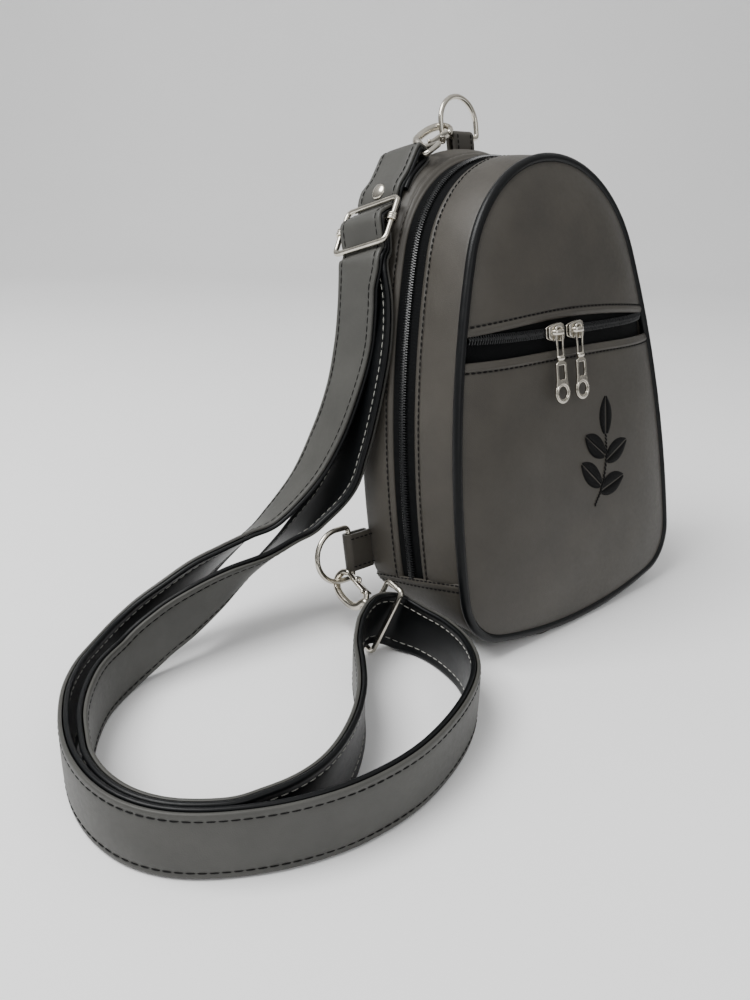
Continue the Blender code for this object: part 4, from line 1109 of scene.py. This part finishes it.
def slider_pull(name, where):
    """The cast pull: a barrel, a slotted neck and a ring with a raised rim."""
    flank = [(1.4, -0.6), (2.2, -1.8), (3.7, -2.6), (4.1, -3.4), (4.1, -11.5), (4.6, -13.4)]
    flank = [(x, PULL_EYE + y) for x, y in flank]
    outline = flank + [(5.7 * math.cos(angle), PULL_RING + 5.7 * math.sin(angle))
                       for angle in np.radians(np.linspace(38, -218, 30))]
    outline += [(-x, y) for x, y in flank[::-1]]
    slot = [(x, PULL_EYE + y) for x, y in ((2.0, -3.8), (2.4, -4.2), (2.4, -10.7), (2.0, -11.1))]
    slot += [(-x, y) for x, y in slot[::-1]]
    points, faces = cut_plate([outline, slot, circle(3.3, PULL_RING)], 1.3, 0.35)
    points[:, 2] += PULL_OUT
    build = Build()
    build.add(place(where, points), faces)
    barrel = [(-1.35, PULL_EYE, PULL_OUT), (1.35, PULL_EYE, PULL_OUT)]
    build.tube(place(where, resample(barrel, step=0.4)), 1.55, 16, side_hint=where[1][2])
    raised = np.array([(x, y, PULL_OUT + 0.62) for x, y in circle(4.6, PULL_RING, 40)])
    build.tube(place(where, raised), 0.42, 8, closed=True, side_hint=where[1][2])
    build.make(name + "_pull_tab", [NICKEL], name + "_tab", [name + "_pull"])


def zip_slider(name, where, upright=False):
    """A zip slider with its link and its pull."""
    slider_cast(name, where, upright)
    slider_link(name, where)
    slider_pull(name, where)


def pocket_slider_frame(x):
    """Placement of a pocket slider at a place across the bag."""
    turn = math.asin(x / POCKET_ARC)
    origin = (x, float(bow_y(np.array(x))) - 2.35 + LEAN * POCKET_Z, POCKET_Z)
    return frame_at(origin, (math.cos(turn), math.sin(turn), 0.0), UP_LEAN)


def main_slider_frame():
    """Placement of the main slider, parked low on the right side."""
    side, radius = outline_arcs()[1][:2]
    angle = math.asin((MAIN_SLIDER_Z - side.y) / radius)
    up = np.array([-math.sin(angle), LEAN * math.cos(angle), math.cos(angle)])
    up /= np.linalg.norm(up)
    x = side.x + (radius + 0.4) * math.cos(angle)
    z = side.y + (radius + 0.4) * math.sin(angle)
    out = np.array([math.cos(angle), 0.0, math.sin(angle)])
    return frame_at((x, ZIP_Y + LEAN * z, z), np.cross(up, out), up)


# ---- strap -----------------------------------------------------------------------------
def strap_stations():
    """The strap's middle line and the direction across it, as in the CAD.

    It runs from the tail at the top hook, through the slider, round the loop on the table,
    through the lower hook and back up to the slider.
    """
    slider = slider_frame()
    across = -slider[1][0]
    stations = [((-54.0, 81.8, 226.5), (-0.06, 1.0, -0.16)),
                ((-46.3, 84.3, 234.1), (-0.06, 1.0, -0.22))]
    loop = loop_frame("top")
    wrap = 4.05         # the strap's middle line goes round the hook's loop at this radius
    on_edge = 14.7      # and is this high where the strap stands on the floor
    for turn in np.radians(range(-90, 91, 30)):
        stations.append((place(loop, (0.0, wrap * math.cos(turn), -wrap * math.sin(turn))), loop[1][0]))
    stations += [((-49.6, 84.9, 236.0), (-0.07, 1.0, -0.23)),
                 ((-55.8, 83.9, 229.4), (-0.1, 1.0, -0.25))]
    weave = [(19.5, -3.0), (14.0, -4.9), (7.0, 0.0), (0.0, 3.8), (-7.0, 0.0), (-14.0, -4.3), (-20.5, -3.6)]
    stations += [(place(slider, (0.0, along, out)), across) for along, out in weave]
    stations += [((-83.5, 70.5, 182.0), (0.0, 1.0, -0.05)),
                 ((-85.0, 69.2, 168.0), (0.0, 1.0, 0.0)),
                 ((-88.0, 68.0, 149.0), (0.0, 1.0, 0.0)),
                 ((-94.5, 68.0, 126.0), (0.1, 1.0, 0.0)),
                 ((-104.0, 69.5, 102.5), (0.15, 1.0, 0.0)),
                 ((-118.0, 72.0, 79.0), (0.15, 0.97, -0.2)),
                 ((-138.5, 76.0, 58.5), (0.15, 0.92, -0.35)),
                 ((-155.0, 78.5, 50.0), (0.18, 0.8, -0.55)),
                 ((-171.0, 79.0, 43.0), (0.15, 0.65, -0.75)),
                 ((-187.0, 78.5, 36.5), (0.1, 0.45, -0.9)),
                 ((-203.0, 77.0, 29.0), (0.1, 0.28, -0.95)),
                 ((-219.0, 75.0, 21.8), (0.05, 0.12, -1.0)),
                 ((-234.0, 69.5, 16.6), (0.0, 0.0, -1.0))]
    outer_loop = [(-248, 60.5), (-261, 49), (-272, 35), (-280, 20), (-286, 4), (-289.5, -13), (-289.5, -31),
                  (-285, -48), (-275, -63), (-258.5, -76), (-236, -87), (-210, -93), (-180, -92),
                  (-148, -82), (-123, -67), (-108.5, -48), (-102.6, -28), (-102.4, -10)]
    stations += [((x, y, on_edge), (0.0, 0.0, -1.0)) for x, y in outer_loop]
    stations += [((-106.0, 1.6, 15.8), (-0.2, 0.1, -1.0)),
                 ((-109.6, 5.8, 17.8), (-0.28, 0.14, -0.95)),
                 ((-115.4, 8.2, 19.4), (-0.33, 0.16, -0.93)),
                 ((-121.6, 8.7, 19.8), (-0.28, 0.14, -0.95)),
                 ((-127.6, 6.8, 19.2), (-0.2, 0.1, -1.0)),
                 ((-133.2, 3.0, 17.8), (-0.1, 0.05, -1.0)),
                 ((-138.8, -2.0, 16.2), (-0.05, 0.02, -1.0))]
    inner_loop = [(-149.5, -14), (-161, -30), (-173, -45), (-187, -58), (-202, -68), (-216, -74), (-230, -76),
                  (-243.5, -74.5), (-256.5, -71), (-271.5, -59.5), (-280.5, -46), (-284.5, -30.5),
                  (-284, -15), (-280, -1), (-274.5, 13), (-265.5, 28), (-253, 42.5), (-235, 55)]
    stations += [((x, y, on_edge), (0.0, 0.0, -1.0)) for x, y in inner_loop]
    stations += [((-215.5, 59.0, 22.0), (0.0, 0.05, -1.0)),
                 ((-197.0, 60.0, 28.5), (0.0, 0.15, -1.0)),
                 ((-178.0, 62.0, 34.0), (0.1, 0.4, -0.9)),
                 ((-154.0, 64.5, 40.5), (0.15, 0.75, -0.6)),
                 ((-135.0, 66.5, 47.5), (0.15, 0.88, -0.4)),
                 ((-123.5, 66.5, 53.5), (0.0, 0.95, -0.28)),
                 ((-115.5, 65.5, 60.0), (0.0, 0.96, -0.25)),
                 ((-107.5, 62.5, 69.5), (0.0, 0.97, -0.2)),
                 ((-101.5, 59.0, 81.0), (0.0, 0.98, -0.15)),
                 ((-97.5, 58.2, 94.0), (0.0, 1.0, -0.1)),
                 ((-94.0, 57.6, 107.0), (0.0, 1.0, 0.0)),
                 ((-88.5, 57.0, 130.0), (0.0, 1.0, 0.0)),
                 ((-83.6, 58.0, 152.0), (0.0, 1.0, 0.0)),
                 ((-79.0, 63.5, 174.0), (0.0, 1.0, 0.0))]
    stations += [(place(slider, (0.0, along, out)), across)
                 for along, out in ((-21.5, -8.9), (-14.0, -8.7), (-9.0, -6.6), (-4.4, -4.2))]
    places = np.array([station[0] for station in stations], float)
    ways = np.array([station[1] for station in stations], float)
    return places, ways / np.linalg.norm(ways, axis=1)[:, None]


def strap_line():
    """The strap's middle points with their outward and crosswise directions."""
    places, ways = strap_stations()
    line, ways = resample(smooth_path(places, 8), step=1.5, others=(smooth_path(ways, 8),))
    along = tangents(line)
    out = np.cross(ways, along)
    out /= np.linalg.norm(out, axis=1)[:, None]
    return line, out, np.cross(along, out)


def strap_rows(line, out, across, profile, wave):
    """Rows of a strap layer from its section, given as places across and heights."""
    profile = np.array(profile)
    rows = (line[:, None] + across[:, None] * profile[None, :, 0:1]
            + out[:, None] * profile[None, :, 1:2])
    free = (np.abs(profile[:, 1]) > 1.0) & (np.abs(profile[:, 0]) < 12.5)
    return rows + out[:, None] * (ripple(rows, 17.0, wave, 2.5) * free[None, :])[..., None]


def mirrored(half):
    """A section's edge half followed by its mirror image."""
    return half + [(-x, height) for x, height in half[::-1]]


def strap():
    """The grey face, the black lining with its rounded rim, and both rows of stitches."""
    line, out, across = strap_line()
    top = [(-14.5, 0.7), (-14.6, 1.1), (-14.5, 1.6), (-14.1, 1.95), (-13.3, 2.1), (-12.5, 2.08),
           (-12.0, 1.95), (-11.6, 1.84), (-11.2, 1.95), (-10.6, 2.1), (-9.0, 2.2), (-6.0, 2.26), (-2.5, 2.28)]
    build = Build()
    section = mirrored(top) + [(14.4, 0.4), (0.0, 0.3), (-14.4, 0.4)]
    build.grid(strap_rows(line, out, across, section, 0.16), 0, wrap_columns=True, caps=True)
    for side in (-11.6, 11.6):
        stitch_row(build, line + across * side + out * 1.9, out, 1, pitch=4.3, length=0.8, radius=0.27)
    build.make("strap_grey_face", [STRAP_GREY, BLACK_THREAD], "back", ["strap_face"])
    low = [(-14.6, -0.2), (-15.0, -0.7), (-15.1, -1.3), (-14.9, -1.9), (-14.4, -2.35), (-13.7, -2.5),
           (-12.9, -2.35), (-12.2, -2.0), (-11.4, -1.75), (-10.8, -1.6), (-10.4, -1.5), (-10.0, -1.6),
           (-9.0, -1.72), (-5.0, -1.8)]
    build = Build()
    section = mirrored(low) + [(14.0, -0.1), (0.0, -0.1), (-14.0, -0.1)]
    build.grid(strap_rows(line, out, across, section, 0.12), 0, wrap_columns=True, caps=True)
    for side in (-10.4, 10.4):
        stitch_row(build, line + across * side - out * 1.55, -out, 1, pitch=4.3, length=0.72, radius=0.24)
    build.make("strap_black_lining", [BLACK, CREAM_THREAD], "back", ["strap_lining"])


def rivet():
    """The domed rivet through the strap's tail, just below the top hook."""
    line, out, across = strap_line()
    nearest = int(np.argmin(np.linalg.norm(line - np.array([-57.5, 83.2, 227.0]), axis=1)))
    forward = np.cross(out[nearest], across[nearest])
    where = frame_at(line[nearest] + out[nearest] * 2.0, across[nearest], forward)
    dome = ((4.3, -0.4), (4.5, 0.1), (4.4, 0.5), (3.9, 0.95), (3.0, 1.35), (1.8, 1.62), (0.5, 1.72))
    rows = [[(x, y, height) for x, y in turned_ring(radius, 28)] for radius, height in dome]
    build = Build()
    build.grid(place(where, np.array(rows)), wrap_columns=True, caps=True)
    build.make("strap_rivet", [NICKEL], "back", [])


# ---- embroidery ------------------------------------------------------------------------
def on_panel(x, z):
    """A point just off the front panel's face."""
    return lean(x, panel_depth(x, z) - 0.1, z)


def sprig():
    """A small sprig of five leaves, satin-stitched in black on the lower front panel."""
    build = Build()
    up = np.array([0.0, -1.0, 0.2])
    stem = smooth_path([(8.0, 66.0), (16.0, 76.0), (21.0, 90.0), (22.0, 104.0)], 14)
    stem = np.array([on_panel(x, z) for x, z in stem])
    for start, end in zip(stem[:-1:2], stem[2::2]):
        side = np.cross(up, end - start)
        side /= np.linalg.norm(side)
        thread(build, start - side * 0.7, end + side * 0.7, up, 0.55)
    leaves = [((13.5, 73.0), 12.0, 24.0), ((15.5, 76.0), 138.0, 23.0), ((20.5, 89.0), 22.0, 23.0),
              ((20.8, 92.0), 142.0, 22.0), ((22.0, 103.0), 86.0, 22.0)]
    for (x, z), lean_angle, length in leaves:
        go = np.array([math.cos(math.radians(lean_angle)), math.sin(math.radians(lean_angle))])
        side = np.array([-go[1], go[0]])
        for hand in (-1, 1):
            for share in np.linspace(0.06, 0.97, 30):
                width = 5.6 * math.sin(math.pi * share ** 0.8) ** 0.8
                root = np.array([x, z]) + go * length * share + side * hand * 0.35
                tip = root + go * 1.9 * math.sin(math.pi * share) + side * hand * width
                thread(build, on_panel(*root), on_panel(*tip), up, 0.46)
    build.make("sprig_embroidery", [BLACK_THREAD], "front", [])


# ---- the whole bag ---------------------------------------------------------------------
front_panel("lower_panel", POCKET_LOW, 1.0, 0.3, 1.0, 70, ["front_panel_lower"])
front_panel("upper_panel", POCKET_HIGH, -1.0, 1.2, 4.2, 46, ["front_panel_upper"])
pocket_reach = float(half_width(POCKET_HIGH)) - 1.5
pocket_tapes(pocket_reach)
pocket_coil(pocket_reach)
pocket_back()
piping()
sprig()
gusset("front_strip", "front", STRIP_FRONT_EDGE, FRONT_Y + 1.4, 1.0, 0.6, ["front_gusset"])
gusset("back_strip", "back", STRIP_BACK_EDGE, BACK_Y + 0.6, 3.0, 3.0, ["back_gusset"])
main_zip_half("main_front", "front", -1.0, "main_zip_tape_front", "main_zip_coil_front")
main_zip_half("main_back", "back", 1.0, "main_zip_tape_back", "main_zip_coil_back")
base_gusset()
back_of_bag()
for hook_name, tab_length, tab_root in (("top", 16.0, 9.6), ("lower", 21.0, 13.2)):
    d_ring(hook_name)
    ring_tab(hook_name, tab_length, tab_root)
    snap_hook(hook_name)
strap_slider()
strap()
rivet()
for slider_name, slider_x in SLIDER_PLACES:
    zip_slider(slider_name, pocket_slider_frame(slider_x))
zip_slider("main", main_slider_frame(), upright=True)


# ---- floor, light and camera -----------------------------------------------------------
CAMERA_PLACE = (-380.2, -285.1, 240.5)
CAMERA_TURN = (41.41, 21.39, 1.72)      # yaw, pitch and roll in degrees
CAMERA_LENS = 30.6          # on a frame 36 mm high


def floor():
    """A plain pale floor that curves up behind into a plain wall."""
    reach, bend, wall_top, half_wide = 1500.0, 500.0, 2600.0, 2400.0
    run = [(-reach, 0.0), (reach, 0.0)]
    run += [(reach + bend * math.sin(turn), bend * (1 - math.cos(turn)))
            for turn in np.radians(np.arange(10, 91, 10))]
    run += [(reach + bend, wall_top)]
    turn = math.radians(-41.4)
    below = 0.6
    rows = []
    for along, up in run:
        rows.append([(across * math.cos(turn) - along * math.sin(turn),
                      across * math.sin(turn) + along * math.cos(turn),
                      up - below) for across in np.linspace(-half_wide, half_wide, 3)])
    mesh = bpy.data.meshes.new("studio_floor")
    rows = np.array(rows)
    mesh.from_pydata((rows.reshape(-1, 3) * MM).tolist(), [], grid_faces(*rows.shape[:2]))
    mesh.shade_smooth()
    made = bpy.data.objects.new("studio_floor", mesh)
    bpy.context.scene.collection.objects.link(made)
    look, tree, shader, coords = new_material("pale_floor")
    patches = noise_node(tree, coords, 3.0, 2.0)
    shades = ramp_between(tree, patches, (0.93, 0.93, 0.93), (0.95, 0.95, 0.95))
    tree.links.new(shades, shader.inputs["Base Color"])
    shader.inputs["Roughness"].default_value = 0.9
    mesh.materials.append(look)


def area_light(name, place_at, target, size, power):
    """A soft white square light aimed at a point; lengths in metres."""
    light = bpy.data.lights.new(name, "AREA")
    light.size = size
    light.energy = power
    made = bpy.data.objects.new(name, light)
    bpy.context.scene.collection.objects.link(made)
    made.location = place_at
    made.rotation_euler = (Vector(target) - Vector(place_at)).to_track_quat("-Z", "Y").to_euler()


def world(strength):
    """A plain surround: bright overhead and darker towards the horizon."""
    made = bpy.data.worlds.new("studio")
    made.use_nodes = True
    tree = made.node_tree
    coords = tree.nodes.new("ShaderNodeTexCoord")
    split = tree.nodes.new("ShaderNodeSeparateXYZ")
    tree.links.new(coords.outputs["Generated"], split.inputs["Vector"])
    shades = ramp_between(tree, split.outputs["Z"], (0.3, 0.3, 0.3), (1.0, 1.0, 1.0), 0.0, 0.8)
    background = tree.nodes["Background"]
    tree.links.new(shades, background.inputs["Color"])
    background.inputs["Strength"].default_value = strength
    bpy.context.scene.world = made


def camera():
    """The camera, placed and turned as the bag was seen."""
    yaw, pitch, roll = (math.radians(angle) for angle in CAMERA_TURN)
    turn_z = np.array([[math.cos(yaw), -math.sin(yaw), 0], [math.sin(yaw), math.cos(yaw), 0], [0, 0, 1]])
    turn_x = np.array([[1, 0, 0], [0, math.cos(pitch), -math.sin(pitch)],
                       [0, math.sin(pitch), math.cos(pitch)]])
    turn_y = np.array([[math.cos(roll), 0, math.sin(roll)], [0, 1, 0], [-math.sin(roll), 0, math.cos(roll)]])
    right, forward, up = turn_y @ turn_x @ turn_z
    lens = bpy.data.cameras.new("camera")
    lens.lens = CAMERA_LENS
    lens.sensor_width = 36.0
    lens.sensor_fit = "VERTICAL"
    lens.sensor_height = 36.0
    lens.clip_start = 0.01
    made = bpy.data.objects.new("camera", lens)
    bpy.context.scene.collection.objects.link(made)
    matrix = Matrix((Vector(right), Vector(up), -Vector(forward))).transposed().to_4x4()
    matrix.translation = Vector(CAMERA_PLACE) * MM
    made.matrix_world = matrix
    bpy.context.scene.camera = made


floor()
world(0.75)
area_light("key", (-0.85, 0.3, 1.5), (-0.08, 0.0, 0.1), 1.0, 36.0)
area_light("fill", (-0.5, -1.5, 0.9), (-0.05, 0.0, 0.1), 1.0, 5.0)
camera()
